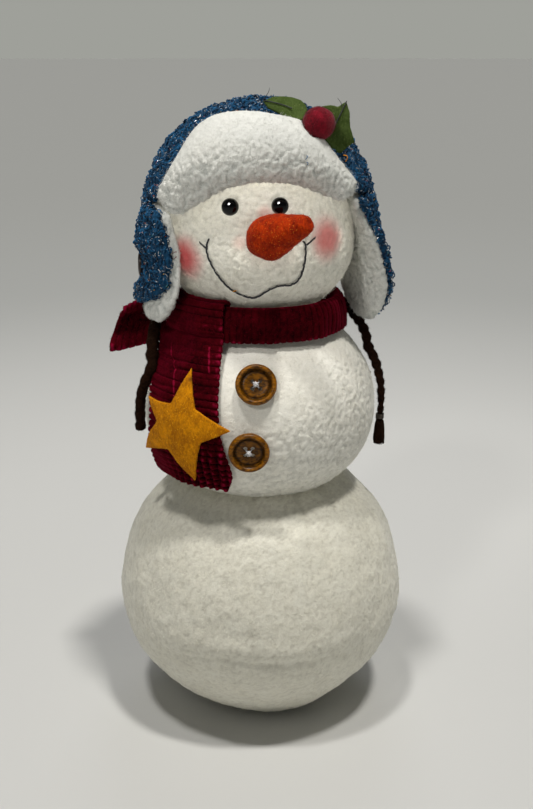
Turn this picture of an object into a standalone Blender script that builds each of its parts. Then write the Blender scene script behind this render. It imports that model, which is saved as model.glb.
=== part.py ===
"""Stuffed fabric snowman figure: three stuffed balls with a trapper cap, scarf, star and buttons.

Metres, +Z up. The figure stands on its flat base at the origin and faces -Y.
Left and right are those of a person looking at the face, so left is -X.
"""
import bpy
import bmesh
import math
from mathutils import Vector, Matrix

# ---------------------------------------------------------------- dimensions
GAP = 0.0003

LOW_CENTRE = (0.0, 0.0, 0.0660)
LOW_RADIUS = 0.0816
LOW_UP = 0.0830
LOW_DOWN = 0.0750
LOW_UP_POWER = 2.2
LOW_DOWN_POWER = 1.75

MID_CENTRE = (-0.0005, 0.0, 0.1785)
MID_RADIUS = 0.0644
MID_UP = 0.0585
MID_DOWN = 0.0520
MID_DOWN_POWER = 2.2

HEAD_CENTRE = (-0.0010, 0.0, 0.2680)
HEAD_RADIUS = 0.0515
HEAD_UP = 0.0540
HEAD_DOWN = 0.0410

EYE_RADIUS = 0.0040
EYE_PLACES = ((-0.0143, 0.2918), (0.0101, 0.2923))

SMILE = (
    (-0.0249, 0.2762), (-0.0262, 0.2716), (-0.0259, 0.2693), (-0.0249, 0.2659), (-0.0230, 0.2620),
    (-0.0206, 0.2580), (-0.0182, 0.2544), (-0.0147, 0.2512), (-0.0107, 0.2491),
    (-0.0068, 0.2469), (-0.0033, 0.2464), (0.0012, 0.2476), (0.0042, 0.2505),
    (0.0077, 0.2527), (0.0117, 0.2530), (0.0162, 0.2532), (0.0192, 0.2552),
    (0.0211, 0.2599), (0.0225, 0.2650), (0.0230, 0.2699), (0.0229, 0.2731), (0.0214, 0.2759),
)
SMILE_LEFT_CROSS = ((-0.0298, 0.2744), (-0.0277, 0.2723))
SMILE_RIGHT_CROSS = ((0.0243, 0.2739), (0.0280, 0.2768))
THREAD_RADIUS = 0.00045

NOSE_ROOT = (-0.0015, -0.0480, 0.2765)
NOSE_TIP = (0.0228, -0.0725, 0.2855)
NOSE_PROFILE = (
    (0.0090, 0.00), (0.0096, 0.14), (0.0094, 0.32), (0.0083, 0.52),
    (0.0066, 0.72), (0.0053, 0.86), (0.0040, 0.94), (0.0021, 0.985),
)

CAP_CENTRE = (-0.0005, 0.0030, 0.2840)
CAP_RADII = (0.0605, 0.0560, 0.0572)
CAP_CLOTH = 0.0032
CAP_EDGE_HEIGHT = 0.2865
CAP_EDGE_SLOPE_Y = -0.42
CAP_EDGE_SLOPE_X = 0.04

BAND_PROFILE = (
    (0.0395, 0.2404), (0.0415, 0.2408), (0.0448, 0.2388), (0.0466, 0.2320),
    (0.0463, 0.2236), (0.0428, 0.2234), (0.0400, 0.2310),
)

TAIL_PATH = (
    (0.0452, 0.2440), (0.0480, 0.2410), (0.0492, 0.2350), (0.0498, 0.2280),
    (0.0508, 0.2210), (0.0545, 0.2140), (0.0603, 0.2050), (0.0645, 0.1950),
    (0.0664, 0.1850), (0.0668, 0.1750), (0.0658, 0.1650), (0.0630, 0.1560),
    (0.0598, 0.1480),
)
TAIL_LEFT = (-82, -82, -82, -79, -73, -67, -61, -58, -58, -59.5, -63, -66, -60)
TAIL_RIGHT = (-22, -22, -21.5, -21, -20.5, -19.5, -18.5, -17.5, -16, -13.5, -12.6, -14, -21)
TAIL_CLOTH = 0.0024

STAR_CENTRE = (-37.1, 0.1825)
STAR_OUTLINE = (
    (0.0035, 0.0305), (0.0104, 0.0105), (0.0305, 0.0015), (0.0146, -0.0065),
    (0.0075, -0.0300), (-0.0062, -0.0150), (-0.0310, -0.0210), (-0.0140, -0.0006),
    (-0.0250, 0.0110), (-0.0050, 0.0120),
)
STAR_CLOTH = 0.0016

BUTTON_RADIUS = 0.0105
BUTTON_PROFILE = (
    (0.0, 0.0014), (0.0064, 0.0018), (0.0080, 0.0036), (0.0090, 0.0040),
    (0.0099, 0.0036), (0.0105, 0.0024), (0.0103, 0.0010), (0.0094, 0.0), (0.0, 0.0),
)
BUTTON_HOLE_RADIUS = 0.0009
BUTTON_HOLE_SPREAD = 0.0024
FLAP_BUTTON_RADIUS = 0.0064
FLAP_BUTTON_THICK = 0.0026

LEFT_ARM = (
    (-0.0510, 0.0060, 0.2325), (-0.0555, -0.0020, 0.2265), (-0.0568, -0.0130, 0.2200),
    (-0.0570, -0.0225, 0.2130), (-0.0568, -0.0274, 0.2065), (-0.0594, -0.0282, 0.2000),
    (-0.0630, -0.0270, 0.1905), (-0.0640, -0.0260, 0.1795), (-0.0645, -0.0240, 0.1665),
)
LEFT_ARM_RADII = (0.0030, 0.0033, 0.0034, 0.0034, 0.0033, 0.0030, 0.0029, 0.0029, 0.0027)
RIGHT_ARM = (
    (0.0460, 0.0185, 0.2320), (0.0490, 0.0150, 0.2280), (0.0545, 0.0110, 0.2225),
    (0.0583, 0.0080, 0.2150), (0.0602, 0.0060, 0.2075), (0.0642, 0.0040, 0.1995),
    (0.0670, 0.0030, 0.1885), (0.0676, 0.0020, 0.1775), (0.0672, 0.0020, 0.1705),
)
RIGHT_ARM_RADII = (0.0026, 0.0026, 0.0026, 0.0025, 0.0025, 0.0024, 0.0021, 0.0018, 0.0017)
TIE_RADIUS = 0.0023
TIE_LENGTH = 0.0030
HAND_LENGTH = 0.0145

BERRY_RADIUS = 0.0080
BERRY_CENTRE = (0.0286, -0.0405, 0.3312)

LEFT_LEAF_FRAME = ((0.0220, -0.0360, 0.3345), (0.0020, -0.0265, 0.3405), (0.10, -0.86, 0.50))
LEFT_LEAF = (
    (0.00, -0.0030), (0.12, -0.0052), (0.34, -0.0050), (0.55, -0.0042), (0.80, -0.0030),
    (1.00, 0.0000), (0.82, 0.0038), (0.62, 0.0050), (0.42, 0.0062), (0.22, 0.0065),
    (0.08, 0.0052), (0.00, 0.0030),
)
RIGHT_LEAF_FRAME = ((0.0338, -0.0281, 0.3234), (0.0425, -0.0272, 0.3407), (0.14, -0.95, 0.25))
RIGHT_LEAF = (
    (-0.22, 0.0052), (-0.08, -0.0010), (0.20, -0.0050), (0.62, -0.0100), (0.75, -0.0060),
    (0.80, -0.0025), (1.00, 0.0000), (0.80, 0.0040), (0.50, 0.0072), (0.22, 0.0125),
    (0.00, 0.0105), (-0.19, 0.0092),
)
LEAF_CLOTH = 0.0014

COLOURS = {
    "cream_fleece": (0.74, 0.71, 0.62),
    "white_fleece": (0.80, 0.79, 0.74),
    "sherpa_lining": (0.82, 0.82, 0.79),
    "blue_boucle": (0.016, 0.060, 0.14),
    "burgundy_corduroy": (0.13, 0.006, 0.020),
    "mustard_felt": (0.62, 0.27, 0.008),
    "green_felt": (0.085, 0.13, 0.028),
    "red_felt": (0.24, 0.008, 0.018),
    "orange_felt": (0.70, 0.085, 0.005),
    "brown_chenille": (0.030, 0.014, 0.008),
    "stained_wood": (0.19, 0.070, 0.012),
    "dark_button": (0.018, 0.009, 0.006),
    "black_bead": (0.004, 0.004, 0.005),
    "dark_thread": (0.008, 0.010, 0.020),
    "white_thread": (0.75, 0.75, 0.76),
    "dark_wire": (0.030, 0.024, 0.022),
}
ROUGHNESS = {"black_bead": 0.08, "stained_wood": 0.32, "dark_button": 0.30, "dark_wire": 0.35}


# ---------------------------------------------------------------- scene set-up
def clear_scene():
    """Start from nothing."""
    for old in list(bpy.data.objects):
        bpy.data.objects.remove(old, do_unlink=True)


def make_collections():
    """One collection for the figure and one for the cutting shapes."""
    figure = bpy.data.collections.new("stuffed_snowman")
    cutters = bpy.data.collections.new("cutters")
    bpy.context.scene.collection.children.link(figure)
    bpy.context.scene.collection.children.link(cutters)
    return figure, cutters


def material(name):
    """A plain material in the colour of the real stuff."""
    found = bpy.data.materials.get(name)
    if found:
        return found
    made = bpy.data.materials.new(name)
    made.use_nodes = True
    shader = made.node_tree.nodes["Principled BSDF"]
    shader.inputs["Base Color"].default_value = (*COLOURS[name], 1.0)
    shader.inputs["Roughness"].default_value = ROUGHNESS.get(name, 0.9)
    made.diffuse_color = (*COLOURS[name], 1.0)
    return made


def add_mesh(name, bm, stuff, smooth=True, where=None, open_outward=False):
    """Turn a bmesh into a named object; an open cloth is faced away from the figure's axis."""
    bmesh.ops.remove_doubles(bm, verts=bm.verts, dist=0.000005)
    bmesh.ops.recalc_face_normals(bm, faces=bm.faces)
    if open_outward:
        facing = sum(f.normal.dot(f.calc_center_median() * Vector((1, 1, 0))) for f in bm.faces)
        if facing < 0:
            bmesh.ops.reverse_faces(bm, faces=bm.faces)
    mesh = bpy.data.meshes.new(name)
    bm.to_mesh(mesh)
    bm.free()
    for face in mesh.polygons:
        face.use_smooth = smooth
    if stuff:
        mesh.materials.append(material(stuff))
    made = bpy.data.objects.new(name, mesh)
    (where or FIGURE).objects.link(made)
    return made


def cut(body, cutter):
    """Press one shape into another, leaving room between them."""
    for coll in list(cutter.users_collection):
        coll.objects.unlink(cutter)
    CUTTERS.objects.link(cutter)
    cutter.hide_render = True
    cutter.display_type = "WIRE"
    step = body.modifiers.new("press_" + cutter.name, "BOOLEAN")
    step.operation = "DIFFERENCE"
    step.solver = "EXACT"
    step.object = cutter


# ---------------------------------------------------------------- round shapes
def lathe(name, profile, stuff, steps=36, where=None):
    """Turn a profile of (radius, height) pairs, given from the top down the outer side."""
    mesh = bpy.data.meshes.new(name)
    edges = [(i, i + 1) for i in range(len(profile) - 1)]
    if profile[0][0] > 0.0 and profile[-1][0] > 0.0:
        edges.append((len(profile) - 1, 0))
    mesh.from_pydata([(r, 0.0, z) for r, z in profile], edges, [])
    if stuff:
        mesh.materials.append(material(stuff))
    made = bpy.data.objects.new(name, mesh)
    (where or FIGURE).objects.link(made)
    turn = made.modifiers.new("turn", "SCREW")
    turn.angle = math.tau
    turn.steps = steps
    turn.render_steps = steps
    turn.use_merge_vertices = True
    turn.merge_threshold = 0.00001
    turn.use_smooth_shade = True
    return made


def ball_profile(radius, up, down, rows, up_power=2.0, down_power=2.0, floor=None):
    """Half outline of a stuffed ball, top to bottom, flattened at the floor."""
    profile = []
    for i in range(rows + 1):
        angle = math.pi / 2 - math.pi * i / rows
        c = max(math.cos(angle), 0.0)
        s = math.sin(angle)
        power = up_power if s >= 0 else down_power
        size = (abs(c) ** power + abs(s) ** power) ** (-1.0 / power)
        r = radius * c * size
        z = (up if s >= 0 else down) * s * size
        if i in (0, rows):
            r = 0.0
        if floor is not None and z < floor:
            before = profile[-1]
            share = (before[1] - floor) / (before[1] - z)
            rim = before[0] + (r - before[0]) * share
            profile.append((rim, floor))
            profile.append((0.0, floor))
            return profile
        profile.append((r, z))
    return profile


def low_ball(name, grow=0.0, where=None):
    """The wide bottom ball with its flat standing face."""
    profile = ball_profile(
        LOW_RADIUS + grow, LOW_UP + grow, LOW_DOWN + grow, 17,
        LOW_UP_POWER, LOW_DOWN_POWER, -LOW_CENTRE[2],
    )
    made = lathe(name, profile, "cream_fleece", 30, where)
    made.location = LOW_CENTRE
    return made


def mid_ball(name, grow=0.0, where=None):
    """The middle ball, a little squashed."""
    profile = ball_profile(MID_RADIUS + grow, MID_UP + grow, MID_DOWN + grow, 15, 2.0, MID_DOWN_POWER)
    made = lathe(name, profile, "white_fleece", 28, where)
    made.location = MID_CENTRE
    return made


def head(name, grow=0.0, where=None):
    """The head ball, flatter at the chin."""
    profile = ball_profile(HEAD_RADIUS + grow, HEAD_UP + grow, HEAD_DOWN + grow, 15)
    made = lathe(name, profile, "white_fleece", 28, where)
    made.location = HEAD_CENTRE
    return made


def small_ball(name, centre, radius, stuff, where=None, squash=1.0):
    """A bead or a felt ball."""
    bm = bmesh.new()
    bmesh.ops.create_uvsphere(bm, u_segments=12, v_segments=8, radius=radius)
    bmesh.ops.scale(bm, vec=(1.0, squash, 1.0), verts=bm.verts)
    made = add_mesh(name, bm, stuff, where=where)
    made.location = centre
    return made


# ---------------------------------------------------------------- places on the body
def on_face(x, z, lift=0.0):
    """Point of the front of the head at the given x and z, raised by lift."""
    half = (HEAD_UP if z > HEAD_CENTRE[2] else HEAD_DOWN) + lift
    radius = HEAD_RADIUS + lift
    across = (x - HEAD_CENTRE[0]) / radius
    upward = (z - HEAD_CENTRE[2]) / half
    depth = math.sqrt(max(1.0 - across * across - upward * upward, 0.0)) * radius
    return Vector((x, HEAD_CENTRE[1] - depth, z))


def turned(azimuth, radius, z, centre=HEAD_CENTRE):
    """Point at an angle from the front (minus is left), a radius and a height."""
    a = math.radians(azimuth)
    return Vector((centre[0] + radius * math.sin(a), centre[1] - radius * math.cos(a), z))


def between(values, share):
    """Read a row of evenly spaced numbers at a share of its length."""
    place = min(max(share, 0.0), 1.0) * (len(values) - 1)
    i = min(int(place), len(values) - 2)
    return values[i] + (values[i + 1] - values[i]) * (place - i)


def read_table(keys, values, key):
    """Read a table whose keys fall from first to last."""
    if key >= keys[0]:
        return values[0]
    for i in range(len(keys) - 1):
        if keys[i] >= key >= keys[i + 1]:
            share = (keys[i] - key) / (keys[i] - keys[i + 1])
            return values[i] + (values[i + 1] - values[i]) * share
    return values[-1]


def cap_edge(x, y):
    """Height of the cap's lower edge over a place."""
    return CAP_EDGE_HEIGHT + CAP_EDGE_SLOPE_Y * y + CAP_EDGE_SLOPE_X * x


def tail_point(share_down, azimuth, lift=0.0):
    """Point on the outer face of the front tail."""
    r = between([p[0] for p in TAIL_PATH], share_down)
    z = between([p[1] for p in TAIL_PATH], share_down)
    return turned(azimuth, r + lift, z, MID_CENTRE)


def tail_share(z):
    """How far down the front tail a height lies."""
    heights = [p[1] for p in TAIL_PATH]
    shares = [i / (len(heights) - 1) for i in range(len(heights))]
    return read_table(heights, shares, z)


# ---------------------------------------------------------------- cloth and tube shapes
def loft(name, front, back, stuff):
    """A closed pad between two grids of points with the same rows and columns."""
    bm = bmesh.new()
    rows = len(front)
    cols = len(front[0])
    a = [[bm.verts.new(p) for p in row] for row in front]
    b = [[bm.verts.new(p) for p in row] for row in back]
    for i in range(rows - 1):
        for j in range(cols - 1):
            bm.faces.new((a[i][j], a[i][j + 1], a[i + 1][j + 1], a[i + 1][j]))
            bm.faces.new((b[i][j], b[i + 1][j], b[i + 1][j + 1], b[i][j + 1]))
    rim = [(0, j) for j in range(cols - 1)]
    rim += [(i, cols - 1) for i in range(rows - 1)]
    rim += [(rows - 1, j) for j in range(cols - 1, 0, -1)]
    rim += [(i, 0) for i in range(rows - 1, 0, -1)]
    for k, (i, j) in enumerate(rim):
        m, n = rim[(k + 1) % len(rim)]
        bm.faces.new((a[m][n], a[i][j], b[i][j], b[m][n]))
    return add_mesh(name, bm, stuff)


def sheet(name, grid, thick, stuff, side=0.0):
    """Cloth of one thickness on an open grid of points: side 0 centres it, -1 keeps it inside."""
    bm = bmesh.new()
    verts = [[bm.verts.new(p) for p in row] for row in grid]
    for i in range(len(grid) - 1):
        for j in range(len(grid[0]) - 1):
            bm.faces.new((verts[i][j], verts[i + 1][j], verts[i + 1][j + 1], verts[i][j + 1]))
    made = add_mesh(name, bm, stuff, open_outward=True)
    body = made.modifiers.new("thickness", "SOLIDIFY")
    body.thickness = thick
    body.offset = side
    body.use_even_offset = True
    return made


def outline_sheet(name, points, place, thick, stuff, cuts=3):
    """A flat cut-out, bent by the place function, with one thickness."""
    bm = bmesh.new()
    middle_u = sum(p[0] for p in points) / len(points)
    middle_v = sum(p[1] for p in points) / len(points)
    hub = bm.verts.new((middle_u, middle_v, 0.0))
    ring = [bm.verts.new((u, v, 0.0)) for u, v in points]
    for k, vert in enumerate(ring):
        bm.faces.new((hub, vert, ring[(k + 1) % len(ring)]))
    if cuts:
        bmesh.ops.subdivide_edges(bm, edges=bm.edges, cuts=cuts, use_grid_fill=True)
    for vert in bm.verts:
        vert.co = place(vert.co.x, vert.co.y)
    made = add_mesh(name, bm, stuff, open_outward=True)
    body = made.modifiers.new("thickness", "SOLIDIFY")
    body.thickness = thick
    body.offset = 0.0
    body.use_even_offset = True
    return made


def tube(name, points, radii, stuff, sides=2):
    """A closed round rod through the points."""
    curve = bpy.data.curves.new(name, "CURVE")
    curve.dimensions = "3D"
    curve.bevel_depth = 1.0
    curve.bevel_resolution = sides
    curve.use_fill_caps = True
    line = curve.splines.new("POLY")
    line.points.add(len(points) - 1)
    for target, place, radius in zip(line.points, points, radii):
        target.co = (*place, 1.0)
        target.radius = radius
    curve.materials.append(material(stuff))
    made = bpy.data.objects.new(name, curve)
    FIGURE.objects.link(made)
    weld = made.modifiers.new("close_ends", "WELD")
    weld.merge_threshold = 0.00002
    return made


# ---------------------------------------------------------------- the stuffed balls
def build_balls():
    """Three balls, each pressed into the one below, and the bead sockets."""
    low = low_ball("lower_ball")
    cut(low, mid_ball("press_low", GAP, CUTTERS))
    mid = mid_ball("middle_ball")
    cut(mid, head("press_mid", GAP, CUTTERS))
    face = head("head_ball")
    for side, (x, z) in zip(("left", "right"), EYE_PLACES):
        centre = on_face(x, z, 0.0006)
        small_ball(side + "_eye", centre, EYE_RADIUS, "black_bead")
        cut(face, small_ball(side + "_socket", centre, EYE_RADIUS + GAP, None, CUTTERS))


def build_nose():
    """A felted carrot: a turned cone, pushed against the face."""
    root = Vector(NOSE_ROOT)
    tip = Vector(NOSE_TIP)
    along = tip - root
    length = along.length
    profile = [(0.0, length)]
    profile += [(r, -0.002 if s == 0 else s * length) for r, s in reversed(NOSE_PROFILE)]
    profile += [(0.0, -0.002)]
    made = lathe("nose", profile, "orange_felt", 14)
    made.rotation_euler = along.to_track_quat("Z", "Y").to_euler()
    made.location = root
    cut(made, head("press_nose", GAP, CUTTERS))


def build_smile():
    """Stitched thread laid on the face, with a cross stitch at each end."""
    lift = THREAD_RADIUS + GAP
    points = [on_face(x, z, lift) for x, z in SMILE]
    tube("smile_thread", points, [THREAD_RADIUS] * len(points), "dark_thread", 1)
    for name, cross in (("left_smile_stitch", SMILE_LEFT_CROSS), ("right_smile_stitch", SMILE_RIGHT_CROSS)):
        points = [on_face(x, z, lift) for x, z in cross]
        tube(name, points, [THREAD_RADIUS] * len(points), "dark_thread", 1)


# ---------------------------------------------------------------- cap
def cap_ball(name, shrink, stuff, where=None):
    """Round form of the cap, drawn in by shrink."""
    bm = bmesh.new()
    bmesh.ops.create_uvsphere(bm, u_segments=26, v_segments=14, radius=1.0)
    size = [r - shrink for r in CAP_RADII]
    bmesh.ops.scale(bm, vec=size, verts=bm.verts)
    made = add_mesh(name, bm, stuff, where=where)
    made.location = CAP_CENTRE
    return made


def below_edge(name, drop):
    """Block that takes away everything under the cap's sloping edge."""
    half = 0.09
    bm = bmesh.new()
    bmesh.ops.create_cube(bm, size=1.0)
    for vert in bm.verts:
        x = vert.co.x * 2 * half
        y = vert.co.y * 2 * half
        z = cap_edge(x, y) - drop if vert.co.z > 0 else 0.15
        vert.co = (x, y, z)
    return add_mesh(name, bm, None, where=CUTTERS)


def build_cap():
    """Outer knit crown over a fleece lining."""
    crown = cap_ball("cap_crown", 0.0, "blue_boucle")
    cut(crown, below_edge("crown_edge", 0.0))
    cut(crown, cap_ball("crown_hollow", CAP_CLOTH, None, CUTTERS))
    lining = cap_ball("cap_lining", CAP_CLOTH + GAP, "sherpa_lining")
    cut(lining, below_edge("lining_edge", 0.0))
    cut(lining, head("lining_hollow", GAP, CUTTERS))


BRIM_ANGLES = (-60, -57, -52, -45, -36, -24, -12, 0, 12, 24, 34, 43, 50, 56, 59)
BRIM_LOW = (
    0.2945, 0.2905, 0.2885, 0.2890, 0.2925, 0.2985, 0.3030, 0.3050,
    0.3048, 0.3022, 0.2990, 0.2965, 0.2950, 0.2960, 0.2995,
)
BRIM_HIGH = (
    0.3005, 0.3085, 0.3180, 0.3262, 0.3322, 0.3355, 0.3368, 0.3366,
    0.3350, 0.3328, 0.3292, 0.3240, 0.3185, 0.3110, 0.3045,
)
BRIM_LEAN = 0.13
BRIM_THICK = 0.0090
BRIM_ROWS = 7


def cap_reach(azimuth, z, lift):
    """Distance of the cap's surface from its axis at a height, raised by lift."""
    a = math.radians(azimuth)
    rx, ry, rz = [r + lift for r in CAP_RADII]
    rise = (z - CAP_CENTRE[2]) / rz
    flat = math.sqrt(max(1.0 - rise * rise, 0.02))
    return flat / math.sqrt((math.sin(a) / rx) ** 2 + (math.cos(a) / ry) ** 2)


def build_brim():
    """Turned-up front brim: a thick pad that follows the front of the crown."""
    front = []
    back = []
    for i in range(BRIM_ROWS):
        up = i / (BRIM_ROWS - 1)
        front_row = []
        back_row = []
        for azimuth, low, high in zip(BRIM_ANGLES, BRIM_LOW, BRIM_HIGH):
            z = low + (high - low) * up
            side = 1.0 - abs(azimuth) / 64.0
            full = (math.sin(math.pi * min(max(up, 0.03), 0.97)) ** 0.45) * min(side * 7, 1.0) ** 0.5
            foot = cap_reach(azimuth, low, GAP + 0.0002)
            inner = max(cap_reach(azimuth, z, GAP + 0.0002), foot * (1.0 - BRIM_LEAN * up))
            front_row.append(turned(azimuth, inner + 0.0012 + (BRIM_THICK - 0.0012) * full, z, CAP_CENTRE))
            back_row.append(turned(azimuth, inner, z, CAP_CENTRE))
        front.append(front_row)
        back.append(back_row)
    made = loft("cap_brim", front, back, "sherpa_lining")
    cut(made, small_ball("berry_press", BERRY_CENTRE, BERRY_RADIUS + GAP, None, CUTTERS))


FLAP_CLOTH = 0.0030
FLAP_LINING_GAP = 0.0009
LEFT_CLOTH_ROWS = (
    (0.2860, -60, -112), (0.2780, -55, -111), (0.2680, -52, -109), (0.2625, -51, -106),
    (0.2490, -55, -100), (0.2450, -60, -98), (0.2390, -74, -93),
)
LEFT_LINING_ROWS = (
    (0.2860, -55, -114), (0.2780, -50.5, -113), (0.2680, -47.5, -110.5), (0.2625, -47, -108),
    (0.2490, -47, -102), (0.2390, -51, -94), (0.2300, -61, -82),
)
LEFT_HEIGHTS = (0.2860, 0.2780, 0.2680, 0.2625, 0.2490, 0.2450, 0.2390, 0.2300)
LEFT_SWELL = (0.0605, 0.0625, 0.0642, 0.0606, 0.0606, 0.0648, 0.0655, 0.0650)
LEFT_EDGE = (0.0585, 0.0580, 0.0575, 0.0576, 0.0582, 0.0595, 0.0610, 0.0620)
LEFT_INSIDE = (0.0526, 0.0530, 0.0532, 0.0534, 0.0536, 0.0540, 0.0546, 0.0560)


def left_reach(azimuth, z):
    """Outer face of the left flap, measured from the head's axis."""
    swell = read_table(LEFT_HEIGHTS, LEFT_SWELL, z)
    edge = read_table(LEFT_HEIGHTS, LEFT_EDGE, z)
    share = min(max((-azimuth - 48.0) / 34.0, 0.0), 1.0)
    return edge + (swell - edge) * math.sin(share * math.pi / 2)


def under_cap(point, row, z):
    """Height of a flap row: the first row follows the cap's edge and keeps under the brim."""
    edge = cap_edge(point.x, point.y) - 0.0008
    if point.y < -0.020:
        edge = min(edge, 0.2872 if point.x < 0 else 0.2935)
    if row == 0:
        return edge
    return min(z, edge - 0.0035 * row)


def build_left_flap():
    """Left ear flap, lying against the cheek: outer knit and fleece lining."""
    cols = 8
    cloth = []
    for i, (z, first, last) in enumerate(LEFT_CLOTH_ROWS):
        row = []
        for j in range(cols):
            azimuth = first + (last - first) * j / (cols - 1)
            spot = turned(azimuth, left_reach(azimuth, z), 0.0)
            row.append(Vector((spot.x, spot.y, under_cap(spot, i, z))))
        cloth.append(row)
    sheet("left_flap_outer", cloth, FLAP_CLOTH, "blue_boucle", -1.0)
    face = []
    back = []
    for i, (z, first, last) in enumerate(LEFT_LINING_ROWS):
        face_row = []
        back_row = []
        for j in range(cols):
            azimuth = first + (last - first) * j / (cols - 1)
            reach = left_reach(azimuth, z) - FLAP_CLOTH - FLAP_LINING_GAP
            inner = min(read_table(LEFT_HEIGHTS, LEFT_INSIDE, z), reach - 0.0012)
            height = under_cap(turned(azimuth, reach, 0.0), i, z)
            face_row.append(turned(azimuth, reach, height))
            back_row.append(turned(azimuth, inner, height))
        face.append(face_row)
        back.append(back_row)
    loft("left_flap_lining", face, back, "sherpa_lining")


RIGHT_Z = (0.2860, 0.2790, 0.2680, 0.2560, 0.2450, 0.2350, 0.2275)
RIGHT_FRONT = (
    (0.0520, -0.0270), (0.0600, -0.0225), (0.0660, -0.0165), (0.0695, -0.0110),
    (0.0710, -0.0060), (0.0688, -0.0010), (0.0645, 0.0035),
)
RIGHT_BACK = (
    (0.0570, 0.0200), (0.0562, 0.0230), (0.0545, 0.0260), (0.0525, 0.0275),
    (0.0515, 0.0265), (0.0545, 0.0190), (0.0590, 0.0110),
)
RIGHT_BOW = (0.0060, 0.0030, 0.0010, 0.0005, 0.0005, 0.0005, 0.0003)
FLAP_LINING_THICK = 0.0075


def build_right_flap():
    """Right ear flap, swung open so that its lining faces forward."""
    cols = 8
    layers = []
    skin = FLAP_CLOTH + FLAP_LINING_GAP + 0.0003
    for depth, grow in ((0.0, 0.0), (skin, 0.0016), (None, 0.0016)):
        grid = []
        for i, z in enumerate(RIGHT_Z):
            row = []
            a = Vector((*RIGHT_FRONT[i], 0.0))
            b = Vector((*RIGHT_BACK[i], 0.0))
            along = (b - a).normalized()
            inward = Vector((along.y, -along.x, 0.0))
            if inward.x > 0:
                inward = -inward
            for j in range(cols):
                across = j / (cols - 1)
                step = depth
                if depth is None:
                    ends = min(across, 1.0 - across, 0.22) / 0.22
                    down = min((len(RIGHT_Z) - 1 - i) / 1.5, 1.0)
                    step = skin + 0.0020
                    step += (FLAP_LINING_THICK - 0.0020) * (ends ** 0.5) * (0.35 + 0.65 * down)
                first = a - along * grow
                last = b + along * grow
                spot = first + (last - first) * across
                spot -= inward * (RIGHT_BOW[i] * math.sin(math.pi * across))
                spot += inward * step
                height = under_cap(spot, i, z - grow * 1.5 * (i / (len(RIGHT_Z) - 1)))
                row.append(Vector((spot.x, spot.y, height)))
            grid.append(row)
        layers.append(grid)
    sheet("right_flap_outer", layers[0], FLAP_CLOTH, "blue_boucle", -1.0)
    made = loft("right_flap_lining", layers[1], layers[2], "sherpa_lining")
    cut(made, head("press_right_flap", GAP, CUTTERS))


def build_flap_buttons():
    """A dark button on the outside of each flap."""
    places = (
        ("left_flap_button", Vector((-0.0622, -0.0020, 0.2557)), Vector((-1.0, -0.04, 0.0))),
        ("right_flap_button", Vector((0.0640, 0.0100, 0.2500)), Vector((0.86, 0.51, 0.0))),
    )
    for name, centre, outward in places:
        r = FLAP_BUTTON_RADIUS
        t = FLAP_BUTTON_THICK
        profile = (
            (0.0, t * 0.6), (r * 0.62, t * 0.62), (r * 0.80, t), (r * 0.94, t * 0.9),
            (r, t * 0.5), (r * 0.94, t * 0.08), (r * 0.8, 0.0), (0.0, 0.0),
        )
        made = lathe(name, profile, "dark_button", 14)
        made.rotation_euler = outward.to_track_quat("Z", "Y").to_euler()
        made.location = centre


# ---------------------------------------------------------------- holly
def leaf_place(frame, bow):
    """Give the place function of a leaf from its root, tip and facing."""
    root, tip, facing = [Vector(v) for v in frame]
    along = tip - root
    side = along.cross(facing).normalized()
    up = side.cross(along).normalized()

    def place(u, v):
        arch = bow * math.sin(math.pi * min(max(u, 0.0), 1.0)) - 6.0 * v * v
        return root + along * u + side * v + up * arch

    return place


def build_holly():
    """Two felt leaves with a stitched vein, and a felt berry on the brim."""
    small_ball("berry", BERRY_CENTRE, BERRY_RADIUS, "red_felt")
    leaves = (
        ("left_leaf", LEFT_LEAF_FRAME, LEFT_LEAF, 0.0020),
        ("right_leaf", RIGHT_LEAF_FRAME, RIGHT_LEAF, 0.0014),
    )
    for name, frame, outline, bow in leaves:
        place = leaf_place(frame, bow)
        outline_sheet(name, outline, place, LEAF_CLOTH, "green_felt", 1)
        lift = (Vector(frame[2]).normalized()) * (LEAF_CLOTH / 2 + 0.0007)
        points = [place(0.30 + 0.14 * k, 0.0) + lift for k in range(6)]
        tube(name + "_vein", points, [0.0003] * 6, "dark_thread", 1)


# ---------------------------------------------------------------- scarf and star
def build_scarf():
    """Folded band round the neck, a hanging tail and a short end at the back."""
    band = lathe("scarf_neck_band", BAND_PROFILE, "burgundy_corduroy", 32)
    band.location = (MID_CENTRE[0], MID_CENTRE[1], 0.0)
    rows = len(TAIL_PATH)
    cols = 9
    grid = []
    for i in range(rows):
        share = i / (rows - 1)
        left = between(TAIL_LEFT, share)
        right = between(TAIL_RIGHT, share)
        grid.append([tail_point(share, left + (right - left) * j / (cols - 1)) for j in range(cols)])
    sheet("scarf_front_tail", grid, TAIL_CLOTH, "burgundy_corduroy")
    build_back_tail()


BACK_TAIL_ROOT = ((-0.0495, 0.0160, 0.2385), (-0.0495, 0.0175, 0.2270), (-0.0500, 0.0160, 0.2150))
BACK_TAIL_END = ((-0.0715, 0.0160, 0.2305), (-0.0800, 0.0120, 0.2180), (-0.0855, 0.0135, 0.2030))


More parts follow.
